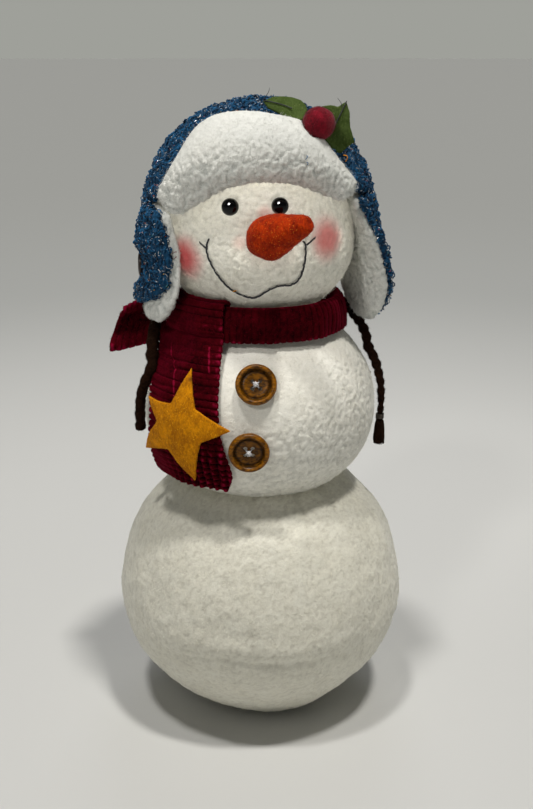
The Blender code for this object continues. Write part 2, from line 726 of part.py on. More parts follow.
def build_back_tail():
    """Short scarf end sticking out behind the left flap."""
    rows = 7
    cols = 7
    grid = []
    for i in range(rows):
        share = i / (rows - 1)
        row = []
        for j in range(cols):
            across = j / (cols - 1)
            x = between([p[0] for p in BACK_TAIL_ROOT], across) * (1 - share)
            y = between([p[1] for p in BACK_TAIL_ROOT], across) * (1 - share)
            z = between([p[2] for p in BACK_TAIL_ROOT], across) * (1 - share)
            x += between([p[0] for p in BACK_TAIL_END], across) * share
            y += between([p[1] for p in BACK_TAIL_END], across) * share
            z += between([p[2] for p in BACK_TAIL_END], across) * share
            y += 0.0022 * math.sin(across * math.tau * 1.0) * share
            row.append(Vector((x, y, z)))
        grid.append(row)
    sheet("scarf_back_tail", grid, TAIL_CLOTH, "burgundy_corduroy")


def build_star():
    """Felt star lying on the front tail."""
    lift = TAIL_CLOTH / 2 + STAR_CLOTH / 2 + GAP + 0.0006

    def place(u, v):
        z = STAR_CENTRE[1] + v
        azimuth = STAR_CENTRE[0] + math.degrees(u / 0.0685)
        return tail_point(tail_share(z), azimuth, lift)

    outline_sheet("star", STAR_OUTLINE, place, STAR_CLOTH, "mustard_felt", 2)


# ---------------------------------------------------------------- buttons
def build_front_buttons():
    """Two dished wooden buttons with four holes and a thread crossing."""
    places = (
        ("upper", Vector((-0.0017, -0.0587, 0.2052)), math.radians(24)),
        ("lower", Vector((-0.0053, -0.0655, 0.1725)), math.radians(-2)),
    )
    for name, centre, tilt in places:
        outward = Vector((0.0, -math.cos(tilt), math.sin(tilt)))
        turn = outward.to_track_quat("Z", "Y")
        body = lathe(name + "_button", BUTTON_PROFILE, "stained_wood", 20)
        body.rotation_euler = turn.to_euler()
        body.location = centre
        across = turn @ Vector((1.0, 0.0, 0.0))
        upward = turn @ Vector((0.0, 1.0, 0.0))
        spread = BUTTON_HOLE_SPREAD / math.sqrt(2.0)
        corners = []
        pins = bmesh.new()
        for sx, sy in ((1, 1), (1, -1), (-1, -1), (-1, 1)):
            corners.append(centre + across * (sx * spread) + upward * (sy * spread))
            bmesh.ops.create_cone(
                pins, cap_ends=True, segments=7, radius1=BUTTON_HOLE_RADIUS,
                radius2=BUTTON_HOLE_RADIUS, depth=0.0131,
                matrix=Matrix.Translation((sx * spread, sy * spread * 1.01, 0.0003)),
            )
        holes = add_mesh(name + "_holes", pins, None, where=CUTTERS)
        holes.rotation_euler = turn.to_euler()
        holes.location = centre
        cut(body, holes)
        high = outward * 0.0025
        peak = outward * 0.0031
        points = [
            corners[0] + high, centre + peak, corners[2] + high,
        ]
        tube(name + "_button_thread", points, [0.0005, 0.0006, 0.0005], "white_thread", 1)


# ---------------------------------------------------------------- arms
def build_arms():
    """Cloth-wrapped wire arms, the right one ending in a tied brush."""
    tube("left_arm", LEFT_ARM, LEFT_ARM_RADII, "brown_chenille", 2)
    tube("right_arm", RIGHT_ARM, RIGHT_ARM_RADII, "brown_chenille", 2)
    end = Vector(RIGHT_ARM[-1])
    down = Vector((-0.008, 0.0, -1.0)).normalized()
    start = end + down * GAP
    stop = start + down * TIE_LENGTH
    tube("right_arm_tie", [start, stop], [TIE_RADIUS] * 2, "dark_wire", 2)
    start = stop + down * GAP
    shape = ((0.0, 0.0022), (0.25, 0.0028), (0.6, 0.0033), (0.85, 0.0034), (1.0, 0.0028))
    points = [start + down * (HAND_LENGTH * s) for s, _ in shape]
    tube("right_hand", points, [r for _, r in shape], "brown_chenille", 2)


clear_scene()
FIGURE, CUTTERS = make_collections()
build_balls()
build_nose()
build_smile()
build_cap()
build_brim()
build_left_flap()
build_right_flap()
build_flap_buttons()
build_holly()
build_scarf()
build_star()
build_front_buttons()
build_arms()
bpy.context.view_layer.update()
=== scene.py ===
# %% [markdown]
# # A stuffed snowman in Blender
# The figure is three stuffed fleece balls under a trapper cap, with a corduroy scarf, a felt star and
# wooden buttons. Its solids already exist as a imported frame, in metres, with +Z up and the face towards
# -Y. This lesson dresses those solids. Each cell makes one piece of the real thing and says why it is
# made that way. The frame comes first, because every piece takes its place from it.

# %% Frame
import math

import bpy
import numpy as np
from mathutils import Matrix, Vector, noise


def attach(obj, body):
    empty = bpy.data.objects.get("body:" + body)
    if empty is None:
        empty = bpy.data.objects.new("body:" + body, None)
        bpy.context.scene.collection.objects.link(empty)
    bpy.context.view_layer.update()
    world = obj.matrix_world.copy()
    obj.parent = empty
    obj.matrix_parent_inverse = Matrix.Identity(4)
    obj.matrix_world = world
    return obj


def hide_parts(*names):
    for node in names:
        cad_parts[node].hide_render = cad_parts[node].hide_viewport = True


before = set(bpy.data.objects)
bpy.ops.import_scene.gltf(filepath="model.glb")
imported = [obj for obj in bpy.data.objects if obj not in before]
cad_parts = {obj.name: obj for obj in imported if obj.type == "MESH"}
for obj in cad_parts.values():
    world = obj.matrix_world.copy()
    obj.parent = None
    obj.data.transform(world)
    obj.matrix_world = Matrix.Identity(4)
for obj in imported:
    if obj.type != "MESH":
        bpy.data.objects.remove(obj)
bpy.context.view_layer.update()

scene = bpy.context.scene
MM = 0.001

# %% [markdown]
# ## Working habits
# An operator works on whatever is selected, so a piece is always picked alone before one is called.
# A number is easier to trust when it is said in the units of the craft, so sizes are millimetres
# times MM, and colours are the hex codes of a paint chart turned into Blender's linear light.

# %% Small helpers


def pick(piece):
    """Select one object alone, so that the next operator works on it only."""
    bpy.ops.object.select_all(action="DESELECT")
    piece.select_set(True)
    bpy.context.view_layer.objects.active = piece


def settle(piece):
    """Apply the piece's modifiers in order."""
    pick(piece)
    for step in list(piece.modifiers):
        bpy.ops.object.modifier_apply(modifier=step.name)


def bake_place(piece):
    """Put the object at the origin, unturned and unscaled, with its place in its mesh."""
    pick(piece)
    bpy.ops.object.transform_apply(location=True, rotation=True, scale=True)


def from_hex(code):
    """An sRGB hex colour as linear red, green, blue and alpha."""
    shares = [int(code[i:i + 2], 16) / 255 for i in (1, 3, 5)]
    linear = [c / 12.92 if c <= 0.04045 else ((c + 0.055) / 1.055) ** 2.4 for c in shares]
    return (*linear, 1.0)


def say(piece):
    """Print what a piece is made of."""
    size = piece.dimensions / MM
    print(f"{piece.name}: {len(piece.data.polygons)} faces, {size.x:.0f} x {size.y:.0f} x {size.z:.0f} mm")


# %% [markdown]
# ## Camera, floor and light
# The figure stands on a table and is seen from a little above, from about 0.6 m. Two ceiling lights
# stand high in front of it, one to each side, so its shadow is two tight pools that overlap round its
# foot. A soft box in front is lower down. A narrow spotlight brings out the cap and the scarf. The face
# would be dark under its brim, so it has a spotlight of its own that throws no shadow, and an eye light
# puts the glint in the eyes. The last cell says which pieces these three reach. A dome of weak
# grey light fills the shadows. The floor is a plain pale sheet that turns grey further out, so that the
# white cap still stands out against what is behind it.

# %% Camera
LOOK_AT = Vector((3.5 * MM, 0.0, 176 * MM))
CAMERA_PITCH = math.radians(18)
CAMERA_REACH = 620 * MM
FOCAL_PIXELS = 1110
PICTURE_HEIGHT = 809

camera = bpy.data.objects.new("camera", bpy.data.cameras.new("camera"))
scene.collection.objects.link(camera)
backwards = Vector((0.0, -math.cos(CAMERA_PITCH), math.sin(CAMERA_PITCH)))
camera.location = LOOK_AT + backwards * CAMERA_REACH
camera.rotation_euler = (-backwards).to_track_quat("-Z", "Y").to_euler()
camera.data.sensor_width = 36.0
camera.data.lens = camera.data.sensor_width * FOCAL_PIXELS / PICTURE_HEIGHT
camera.data.clip_start = 0.02
scene.camera = camera
scene.view_settings.view_transform = "Standard"
print("lens", round(camera.data.lens, 2), "mm")

# %% Shader helper


def add(tree, kind, values=None, feeds=None, **settings):
    """One shader node, with its properties, its input values and what feeds its inputs."""
    made = tree.nodes.new("ShaderNode" + kind)
    for key, value in settings.items():
        setattr(made, key, value)
    for key, value in (values or {}).items():
        made.inputs[key].default_value = value
    for key, source in (feeds or {}).items():
        tree.links.new(source, made.inputs[key])
    return made


def maths(tree, operation, values=None, feeds=None, **settings):
    """One step of arithmetic on numbers."""
    return add(tree, "Math", values, feeds, operation=operation, **settings)


def vectors(tree, operation, values=None, feeds=None, **settings):
    """One step of arithmetic on places or colours."""
    return add(tree, "VectorMath", values, feeds, operation=operation, **settings)


def mix(tree, values=None, feeds=None, **settings):
    """A blend of two colours: input 0 is the share of the second, and 6 and 7 are the colours."""
    return add(tree, "Mix", values, feeds, data_type="RGBA", **settings)


def soft_noise(tree, scale, detail, place, **settings):
    """A soft random pattern at a place: its scale is in repeats to a metre."""
    return add(tree, "TexNoise", {"Scale": scale, "Detail": detail}, {"Vector": place}, **settings)


def new_material(name):
    """A material with nothing but its shader, and that shader with its tree."""
    made = bpy.data.materials.new(name)
    made.use_nodes = True
    tree = made.node_tree
    return made, tree, tree.nodes["Principled BSDF"]


# %% Floor
FLOOR_RADIUS = 30.0
PALE_TO = 0.30
GREY_FROM = 1.20

bpy.ops.object.select_all(action="DESELECT")
bpy.ops.mesh.primitive_circle_add(vertices=128, radius=FLOOR_RADIUS, fill_type="NGON")
floor = bpy.context.object
floor.name = "floor"
floor_paint, tree, shader = new_material("matt_paper_floor")
where = add(tree, "TexCoord")
reach = vectors(tree, "LENGTH", feeds={0: where.outputs["Object"]})
fade = add(tree, "MapRange", {"From Min": PALE_TO, "From Max": GREY_FROM}, {"Value": reach.outputs["Value"]},
           interpolation_type="SMOOTHSTEP")
tone = mix(tree, {6: from_hex("#CBCBC9"), 7: from_hex("#A6A7A5")}, {0: fade.outputs["Result"]})
tree.links.new(tone.outputs[2], shader.inputs["Base Color"])
shader.inputs["Roughness"].default_value = 0.55
floor.data.materials.append(floor_paint)
say(floor)

# %% Lights


def hang_light(name, kind, azimuth, elevation, power, tint, size, distance=1.5, aim=0.17):
    """A light that looks at the figure at height aim; azimuth 0 is in front, plus is to the right."""
    light = bpy.data.lights.new(name, kind)
    if kind == "SUN":
        light.angle = math.radians(size)
    elif kind == "AREA":
        light.size = size
    else:
        light.shadow_soft_size = size / 2
        light.spot_size = SPOT_CONE
        light.spot_blend = 1.0
    light.energy = power
    light.color = from_hex(tint)[:3]
    made = bpy.data.objects.new(name, light)
    scene.collection.objects.link(made)
    a, e = math.radians(azimuth), math.radians(elevation)
    out = Vector((math.sin(a) * math.cos(e), -math.cos(a) * math.cos(e), math.sin(e)))
    made.location = Vector((0.0, 0.0, aim)) + out * distance
    made.rotation_euler = out.to_track_quat("Z", "Y").to_euler()
    return made


SPOT_CONE = math.radians(12)
FACE_HEIGHT = 0.268
NEAR = 1.2
hang_light("right_ceiling_light", "SUN", 45, 75, 1.66, "#FFFCF6", 5.5)
hang_light("left_ceiling_light", "SUN", -40, 75, 1.20, "#FFFDF9", 5.5)
hang_light("front_soft_box", "AREA", -24, 38, 0.7, "#FFFCF7", 0.30, NEAR)
cap_light = hang_light("cap_spotlight", "SPOT", -26, 38, 25.0, "#FFFCF7", 0.20, NEAR, FACE_HEIGHT)
face_light = hang_light("face_spotlight", "SPOT", -4, 60, 40.0, "#FFFCF7", 0.16, NEAR, FACE_HEIGHT)
eye_light = hang_light("eye_light", "AREA", -20, 48, 80.0, "#FFFFFF", 0.42, NEAR, FACE_HEIGHT)
face_light.data.use_shadow = eye_light.data.use_shadow = False
eye_light.visible_diffuse = False
hang_light("back_soft_box", "AREA", 175, 45, 2.2, "#F4F7FF", 0.6)
dome = bpy.data.worlds.new("dome")
dome.use_nodes = True
tree = dome.node_tree
sky = tree.nodes["Background"]
where = add(tree, "TexCoord")
split = add(tree, "SeparateXYZ", feeds={0: where.outputs["Generated"]})
rise = add(tree, "MapRange", {"From Min": 0.03, "From Max": 0.25}, {"Value": split.outputs["Z"]})
tone = mix(tree, {6: from_hex("#9FA09A"), 7: from_hex("#4C4E4E")}, {0: rise.outputs["Result"]})
tree.links.new(tone.outputs[2], sky.inputs["Color"])
sky.inputs["Strength"].default_value = 1.0
scene.world = dome

# %% [markdown]
# ## How the pile of a fleece is made
# Fleece is a knitted cloth whose yarn has been brushed up into short curled fibres. The eye sees
# three sizes of it: the broad lumps of the stuffing, tufts of 2 or 3 mm with small gaps between them,
# and single curls and hairs that break the outline. A bump map alone would leave a hard smooth edge,
# so the skin gets one even net of small faces and its tufts are pushed out for real. Then thousands of
# thin arched ribbons are laid on it as curls, with some loose hairs. How high each spot stands is kept
# in an attribute, which the material reads to paint shade into the gaps between tufts.

# %% Skin with tufts


def even_skin(piece, voxel, rounds=6):
    """One even net of small faces over the piece, with its steps smoothed away."""
    net = piece.modifiers.new("even net", "REMESH")
    net.mode = "VOXEL"
    net.voxel_size = voxel
    soften = piece.modifiers.new("soften", "SMOOTH")
    soften.factor = 0.5
    soften.iterations = rounds
    settle(piece)
    piece.data.shade_smooth()
    return piece


def tuft_height(point, size, wander=0.45):
    """How high the curled pile stands at a point: 0 in a gap, 1 on top of a tuft."""
    q = point / size
    q = q + wander * noise.noise_vector(q * 0.6)
    gap = noise.voronoi(q)[0][0]
    return 1.0 - min(gap * 1.2, 1.0) ** 2


def keep_number(piece, name, values):
    """Store one number for each vertex."""
    kept = piece.data.attributes.get(name) or piece.data.attributes.new(name, "FLOAT", "POINT")
    kept.data.foreach_set("value", np.asarray(values, np.float32))


def smooth_step(share):
    """0 below 0, 1 above 1, and a soft rise between."""
    share = min(max(share, 0.0), 1.0)
    return share * share * (3 - 2 * share)


def raise_tufts(piece, size, height, lump_size, lump, shape=None, ground=None, tuft_share=None, nubby=1.0):
    """Push the skin out in lumps and tufts along its normals, and keep how high it stands, which paints shade into
    the gaps, and how nubby it is.
    """
    mesh = piece.data
    places = []
    painted_lights = []
    shares = []
    for vert in mesh.vertices:
        p = vert.co.copy()
        up = tuft_height(p, size)
        fine = noise.noise(p / (size * 0.4))
        share = tuft_share(p) if tuft_share else 1.0
        push = share * height * (up - 0.5 + 0.3 * fine) + lump * noise.noise(p / lump_size)
        if shape:
            push += shape(p)
        p += vert.normal * push
        if ground is not None:
            p.z = max(p.z, ground)
        places.append(p)
        # How high the pile stands, low in the gaps: the materials read it to paint shade there.
        painted_lights.append(min(max(1 - share * (1 - up - 0.25 * fine), 0.0), 1.0))
        shares.append(share * nubby)
    mesh.vertices.foreach_set("co", np.asarray(places, np.float32).ravel())
    mesh.update()
    keep_number(piece, "nap", painted_lights)
    keep_number(piece, "nubby", shares)
    keep_number(piece, "strand", np.full(len(painted_lights), 0.5))
    return piece


# %% Scattering


def scatter(piece, count, seed, keep=None):
    """Random places on the skin: points, normals and how high the pile stands there; keep gives the share kept at a
    place.
    """
    mesh = piece.data
    mesh.calc_loop_triangles()
    points = np.empty(len(mesh.vertices) * 3, np.float32)
    mesh.vertices.foreach_get("co", points)
    points = points.reshape(-1, 3).astype(float)
    normals = np.empty(len(mesh.vertices) * 3, np.float32)
    mesh.vertex_normals.foreach_get("vector", normals)
    normals = normals.reshape(-1, 3).astype(float)
    nap = np.full(len(points), 0.5, np.float32)
    if mesh.attributes.get("nap"):
        mesh.attributes["nap"].data.foreach_get("value", nap)
    faces = np.empty(len(mesh.loop_triangles) * 3, np.int32)
    mesh.loop_triangles.foreach_get("vertices", faces)
    faces = faces.reshape(-1, 3)
    a, b, c = (points[faces[:, i]] for i in range(3))
    weight = np.linalg.norm(np.cross(b - a, c - a), axis=1)
    if keep:
        weight = weight * keep((a + b + c) / 3)
    rng = np.random.default_rng(seed)
    chosen = rng.choice(len(faces), count, p=weight / weight.sum())
    u = np.sqrt(rng.random(count))[:, None]
    v = rng.random(count)[:, None]
    shares = np.concatenate([1 - u, u * (1 - v), u * v], axis=1)
    spot = np.einsum("ij,ijk->ik", shares, points[faces[chosen]])
    out = np.einsum("ij,ijk->ik", shares, normals[faces[chosen]])
    out /= np.linalg.norm(out, axis=1, keepdims=True)
    high = np.einsum("ij,ij->i", shares, nap[faces[chosen]])
    return spot, out, high, rng


def sideways(out, rng, comb=None, order=0.0):
    """A direction along the skin for each place, random or partly combed one way."""
    way = rng.normal(size=out.shape)
    way /= np.linalg.norm(way, axis=1, keepdims=True)
    if comb is not None:
        way = way * (1 - order) + np.asarray(comb) * order
    way -= out * np.einsum("ij,ij->i", way, out)[:, None]
    return way / np.linalg.norm(way, axis=1, keepdims=True)


def mesh_piece(name, points, faces, numbers=None, material=None):
    """A piece from arrays of points and four-cornered faces."""
    mesh = bpy.data.meshes.new(name)
    mesh.vertices.add(len(points))
    mesh.vertices.foreach_set("co", np.asarray(points, np.float32).ravel())
    mesh.loops.add(faces.size)
    mesh.loops.foreach_set("vertex_index", faces.ravel().astype(np.int32))
    mesh.polygons.add(len(faces))
    mesh.polygons.foreach_set("loop_start", np.arange(len(faces), dtype=np.int32) * faces.shape[1])
    mesh.update(calc_edges=True)
    mesh.validate()
    mesh.shade_smooth()
    made = bpy.data.objects.new(name, mesh)
    scene.collection.objects.link(made)
    for key, values in (numbers or {}).items():
        keep_number(made, key, values)
    if material:
        mesh.materials.append(material)
    return made


def ribbon_arrays(line, half, nap, strand):
    """Points, faces and numbers of flat ribbons along lines of (count, steps, 3) points."""
    count, steps, _ = line.shape
    points = np.stack([line - half, line + half], axis=2).reshape(-1, 3)
    start = np.arange(count)[:, None] * steps * 2 + np.arange(steps - 1)[None, :] * 2
    faces = np.stack([start, start + 1, start + 3, start + 2], axis=2).reshape(-1, 4)
    return points, faces, np.repeat(nap.reshape(-1), 2), np.repeat(strand, steps * 2)


# %% Curls and hairs


def lay_pile(name, piece, curls, length, width, rise, hairs, hair_length, seed,
             keep=None, comb=None, order=0.0, hair_width=0.13 * MM):
    """Arched ribbons and loose hairs over a piece, as one mesh with its material."""
    spot, out, high, rng = scatter(piece, curls, seed, keep)
    way = sideways(out, rng, comb, order)
    side = np.cross(out, way)
    long = length * rng.uniform(0.7, 1.3, curls)
    tall = rise * rng.uniform(0.5, 1.4, curls)
    bend = length * rng.normal(0.0, 0.22, curls)
    u = np.array([0.0, 0.5, 1.0])
    arch = np.sin(math.pi * u)
    line = spot[:, None, :] + way[:, None, :] * (long[:, None] * (u - 0.5))[..., None]
    line = line + out[:, None, :] * (tall[:, None] * arch - 0.12 * MM)[..., None]
    line = line + side[:, None, :] * (bend[:, None] * arch)[..., None]
    taper = np.array([0.45, 1.0, 0.4])
    half = side[:, None, :] * (width / 2 * taper)[None, :, None]
    # Painted shade: each curl is darker at its two ends, where it dips into the pile, and where it lies in a gap of
    # the skin.
    shade = np.clip(high[:, None] * 0.7 + 0.35 * arch, 0.0, 1.0)
    strand = rng.random(curls)
    parts = [ribbon_arrays(line, half, shade, strand)]
    spot, out, high, rng = scatter(piece, hairs, seed + 1, keep)
    way = sideways(out, rng, comb, order)
    side = np.cross(out, way)
    long = hair_length * rng.uniform(0.4, 1.3, hairs)
    u = np.array([0.0, 0.5, 1.0])
    stand = rng.uniform(0.15, 1.0, hairs)
    line = spot[:, None, :] + out[:, None, :] * (long * stand)[:, None, None] * (u - 0.05)[None, :, None]
    line = line + way[:, None, :] * (long[:, None] * u ** 1.7)[..., None] * 0.8
    line = line + side[:, None, :] * ((long * rng.normal(0, 0.3, hairs))[:, None] * u ** 2)[..., None]
    half = side[:, None, :] * (hair_width / 2 * np.array([1.0, 0.9, 0.35]))[None, :, None]
    # Painted shade: each hair is darker at its root and lighter towards its tip.
    shade = np.clip(0.55 + 0.4 * u, 0, 1)[None, :] * np.ones((hairs, 1))
    parts.append(ribbon_arrays(line, half, shade, rng.random(hairs)))
    points = np.concatenate([p[0] for p in parts])
    faces = np.concatenate([parts[0][1], parts[1][1] + len(parts[0][0])])
    numbers = {"nap": np.concatenate([p[2] for p in parts]), "strand": np.concatenate([p[3] for p in parts])}
    made = mesh_piece(name, points, faces, numbers, piece.data.materials[0])
    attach(made, "root")
    return made


# %% [markdown]
# ## Fleece as a material
# The real cloth is brushed polyester fleece. Its fibres scatter light so well that it has no gloss of
# its own, only a pale bloom where it turns away from the eye, which the shader's sheen gives. The gaps
# between tufts get painted shade, a little darker and warmer, patches of yarn differ slightly, and every
# curl has its own tone. The finest grain, a fibre of 0.02 mm, is far too thin to show, so it is drawn at
# 0.7 mm. Where the pile has curled up into nubs, each nub is a small round bead, about 1.4 mm across, with
# painted shade towards its edge.

# %% Fleece


def fleece(name, light, gap_shade, patch, patch_mm=16.0, grain_mm=0.7, bead_mm=1.45, blush_and_glow=()):
    """Brushed fleece; its last argument lists (place, reach, colour, strength) spots on the pile: rubbed-in blush,
    and painted glow thrown off the orange nose.
    """
    made, tree, shader = new_material(name)
    where = add(tree, "TexCoord")
    nap = add(tree, "Attribute", attribute_name="nap")
    strand = add(tree, "Attribute", attribute_name="strand")
    blotch = soft_noise(tree, 1000 / patch_mm, 3.0, where.outputs["Object"])
    grain = soft_noise(tree, 1000 / grain_mm, 2.0, where.outputs["Object"])
    yarn = mix(tree, {6: from_hex(light), 7: from_hex(patch)}, {0: blotch.outputs["Fac"]})
    # Painted shade: where the pile stands low, in the gaps between tufts, the colour turns to the darker gap colour.
    high = add(tree, "MapRange", {"From Min": 0.05, "From Max": 0.75}, {"Value": nap.outputs["Fac"]})
    body = mix(tree, {6: from_hex(gap_shade)}, {0: high.outputs["Result"], 7: yarn.outputs[2]})
    own = maths(tree, "MULTIPLY_ADD", {1: 0.16, 2: 0.92}, {0: strand.outputs["Fac"]})
    speck = maths(tree, "MULTIPLY_ADD", {1: 0.22, 2: -0.11}, {0: grain.outputs["Fac"]})
    plain = maths(tree, "ADD", feeds={0: own.outputs[0], 1: speck.outputs[0]})
    # Painted shade: each bead darkens towards its edge, the more the nubbier the pile.
    nubby = add(tree, "Attribute", attribute_name="nubby")
    stray = soft_noise(tree, 1000 / (bead_mm * 1.6), 1.0, where.outputs["Object"])
    bent = vectors(tree, "MULTIPLY_ADD", {1: (bead_mm * 0.5 * MM,) * 3},
                   {0: stray.outputs["Color"], 2: where.outputs["Object"]})
    bead = add(tree, "TexVoronoi", {"Scale": 1000 / (bead_mm * 1.25)}, {"Vector": bent.outputs["Vector"]})
    fall = maths(tree, "POWER", {1: 2.0}, {0: bead.outputs["Distance"]})
    bead_shade = maths(tree, "MULTIPLY", feeds={0: fall.outputs[0], 1: nubby.outputs["Fac"]})
    level = maths(tree, "MULTIPLY_ADD", {1: -0.15}, {0: bead_shade.outputs[0], 2: plain.outputs[0]})
    tinted = vectors(tree, "SCALE", feeds={0: body.outputs[2], "Scale": level.outputs[0]})
    colour = tinted.outputs["Vector"]
    for place, spread, tint, strength in blush_and_glow:
        gap = vectors(tree, "DISTANCE", {1: place}, {0: where.outputs["Object"]})
        wisp = maths(tree, "MULTIPLY", {1: 0.35 * spread}, {0: blotch.outputs["Fac"]})
        apart = maths(tree, "ADD", feeds={0: gap.outputs["Value"], 1: wisp.outputs[0]})
        mask = add(tree, "MapRange", {"From Min": spread * 1.15, "From Max": spread * 0.25, "To Max": strength},
                   {"Value": apart.outputs[0]}, interpolation_type="SMOOTHERSTEP")
        rubbed = mix(tree, {7: from_hex(tint)}, {0: mask.outputs["Result"], 6: colour})
        colour = rubbed.outputs[2]
    tree.links.new(colour, shader.inputs["Base Color"])
    bump = add(tree, "Bump", {"Strength": 0.5, "Distance": 0.25 * MM}, {"Height": grain.outputs["Fac"]})
    beads = add(tree, "Bump", {"Strength": 0.8, "Distance": 0.45 * MM},
                {"Height": bead_shade.outputs[0], "Normal": bump.outputs["Normal"]}, invert=True)
    tree.links.new(beads.outputs["Normal"], shader.inputs["Normal"])
    shader.inputs["Roughness"].default_value = 0.55
    shader.inputs["Specular IOR Level"].default_value = 0.45
    shader.inputs["Sheen Weight"].default_value = 0.15
    shader.inputs["Sheen Roughness"].default_value = 0.5
    return made


# %% [markdown]
# ## The three stuffed balls
# Each ball is a fleece bag filled with polyester wadding. A bag under load isn't a sphere: the lowest
# one sags onto a flat foot and keeps a broad shoulder, the middle one is squashed, and the head is
# rounder. A UV sphere is the start, and its rows are moved onto a softer outline, so that up, down and
# side each have their own reach.

# %% Stuffed ball


def stuffed_ball(name, centre, radius, up, down, up_power=2.0, down_power=2.0, foot=None):
    """A UV sphere pulled to a sagging ball; foot is the height where it is pressed flat."""
    bpy.ops.object.select_all(action="DESELECT")
    bpy.ops.mesh.primitive_uv_sphere_add(segments=72, ring_count=48, radius=1.0)
    made = bpy.context.object
    made.name = name
    for vert in made.data.vertices:
        flat = math.hypot(vert.co.x, vert.co.y)
        power = up_power if vert.co.z >= 0 else down_power
        full = (flat ** power + abs(vert.co.z) ** power) ** (-1.0 / power)
        vert.co.x *= radius * full
        vert.co.y *= radius * full
        vert.co.z *= (up if vert.co.z >= 0 else down) * full
        vert.co += Vector(centre)
        if foot is not None:
            vert.co.z = max(vert.co.z, foot)
    return made


def within(points, centre, radii):
    """Which of the points lie inside an ellipsoid."""
    return (((points - np.asarray(centre)) / np.asarray(radii)) ** 2).sum(axis=1) < 1.0


LOW_CENTRE = (0.0, 0.0, 66 * MM)
LOW_RADIUS = 80.6 * MM
MID_CENTRE = (-0.5 * MM, 0.0, 178.5 * MM)
MID_RADIUS = 63.6 * MM
HEAD_CENTRE = (-1.0 * MM, 0.0, 268 * MM)
HEAD_RADIUS = 51.0 * MM
HEAD_UP = 53.4 * MM
HEAD_DOWN = 40.4 * MM

# %% Lower ball
CREASE_HEIGHT = 57.5 * MM
GATHERS = (-168, -140, -112, -86, -58, -33, -3, 27, 49, 78, 104, 131, 158)


def low_shape(p):
    """Gathers under the neck seam, and the crease where the wadding has settled."""
    azimuth = math.degrees(math.atan2(p.x, -p.y))
    push = 0.0
    near_neck = math.exp(-(max(140 * MM - p.z, 0.0) / (13 * MM)) ** 2)
    for gather in GATHERS:
        push -= 1.7 * MM * near_neck * math.exp(-((azimuth - gather) / 3.4) ** 2)
    front = math.exp(-((azimuth - 2) / 36) ** 2)
    line = CREASE_HEIGHT + 2.0 * MM * math.exp(-((azimuth + 14) / 12) ** 2) + 0.8 * MM * noise.noise(p * 60)
    push -= 1.1 * MM * front * math.exp(-((p.z - line) / (2.6 * MM)) ** 2)
    push += 0.8 * MM * front * math.exp(-((p.z - line - 8 * MM) / (6 * MM)) ** 2)
    push += 1.8 * MM * math.exp(-((azimuth - 16) / 26) ** 2 - (p.z / (15 * MM)) ** 2)
    push -= 1.8 * MM * math.exp(-((azimuth + 30) / 24) ** 2 - (p.z / (17 * MM)) ** 2)
    push += 0.45 * MM * noise.noise(Vector((p.x / 6.5, p.y / 6.5, p.z / 6.5)) / MM)
    return push


cream_fleece = fleece("brushed_fleece_cream", "#E9E7DA", "#D3CFC0", "#E3DFCE", patch_mm=11.0, grain_mm=0.8)
lower_ball = stuffed_ball("lower_ball_fleece", LOW_CENTRE, LOW_RADIUS, 82 * MM, 74 * MM, 2.2, 1.75, 0.0)
even_skin(lower_ball, 1.6 * MM, 4)
raise_tufts(lower_ball, 1.7 * MM, 0.4 * MM, 26 * MM, 1.1 * MM, low_shape, ground=0.0, nubby=0.3)
lower_ball.data.materials.append(cream_fleece)
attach(lower_ball, "root")
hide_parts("lower_ball")
say(lower_ball)


def low_shown(points):
    """The lower ball's skin that can be seen: not its foot, nor what the middle ball covers."""
    hidden = within(points, MID_CENTRE, (58 * MM, 58 * MM, 50 * MM)) | (points[:, 2] < 3 * MM)
    return np.where(hidden, 0.0, 1.0)


lower_pile = lay_pile("lower_ball_pile", lower_ball, 13000, 2.1 * MM, 0.48 * MM, 0.28 * MM,
                      6000, 1.6 * MM, 11, low_shown, (0, 0, -1), 0.45)
say(lower_pile)

# %% Middle ball
white_fleece = fleece("brushed_fleece_white", "#F5F4EC", "#DCDAD0", "#F1EDE0", patch_mm=22.0)


def mid_nubs(p):
    """How nubby the pile is: worn smooth high on the left, curled up low on the right."""
    return 0.3 + 0.8 * smooth_step((p.x - (p.z - 172 * MM) * 1.1 + 25 * MM) / (60 * MM))


middle_ball = stuffed_ball("middle_ball_fleece", MID_CENTRE, MID_RADIUS, 57.6 * MM, 51.2 * MM, 2.0, 2.2)
even_skin(middle_ball, 1.0 * MM, 5)
raise_tufts(middle_ball, 2.6 * MM, 0.8 * MM, 30 * MM, 0.4 * MM, tuft_share=mid_nubs, nubby=0.6)
middle_ball.data.materials.append(white_fleece)
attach(middle_ball, "root")
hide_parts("middle_ball")
say(middle_ball)


def mid_shown(points):
    """The middle ball's skin that can be seen, between the head and the lower ball."""
    hidden = within(points, HEAD_CENTRE, (49 * MM, 49 * MM, 44 * MM)) | (points[:, 2] < 130 * MM)
    return np.where(hidden, 0.0, 1.0)


middle_pile = lay_pile("middle_ball_pile", middle_ball, 14000, 1.45 * MM, 0.5 * MM, 0.34 * MM,
                       9000, 1.6 * MM, 21, mid_shown)
say(middle_pile)

# %% [markdown]
# ## Head
# The head is a smaller ball of the same fleece. Things are sewn or glued into it, and each leaves its
# mark in the soft skin: a dimple round every bead eye, a hollow where the nose was felted on, and a
# furrow where the smile's thread pulls the cloth down. A search tree finds how far a spot of skin is
# from the smile, so that the furrow follows the stitches. The cheeks are powdered with a red pigment
# that sits on the pile, so it is a colour in the material and fades out in wisps.

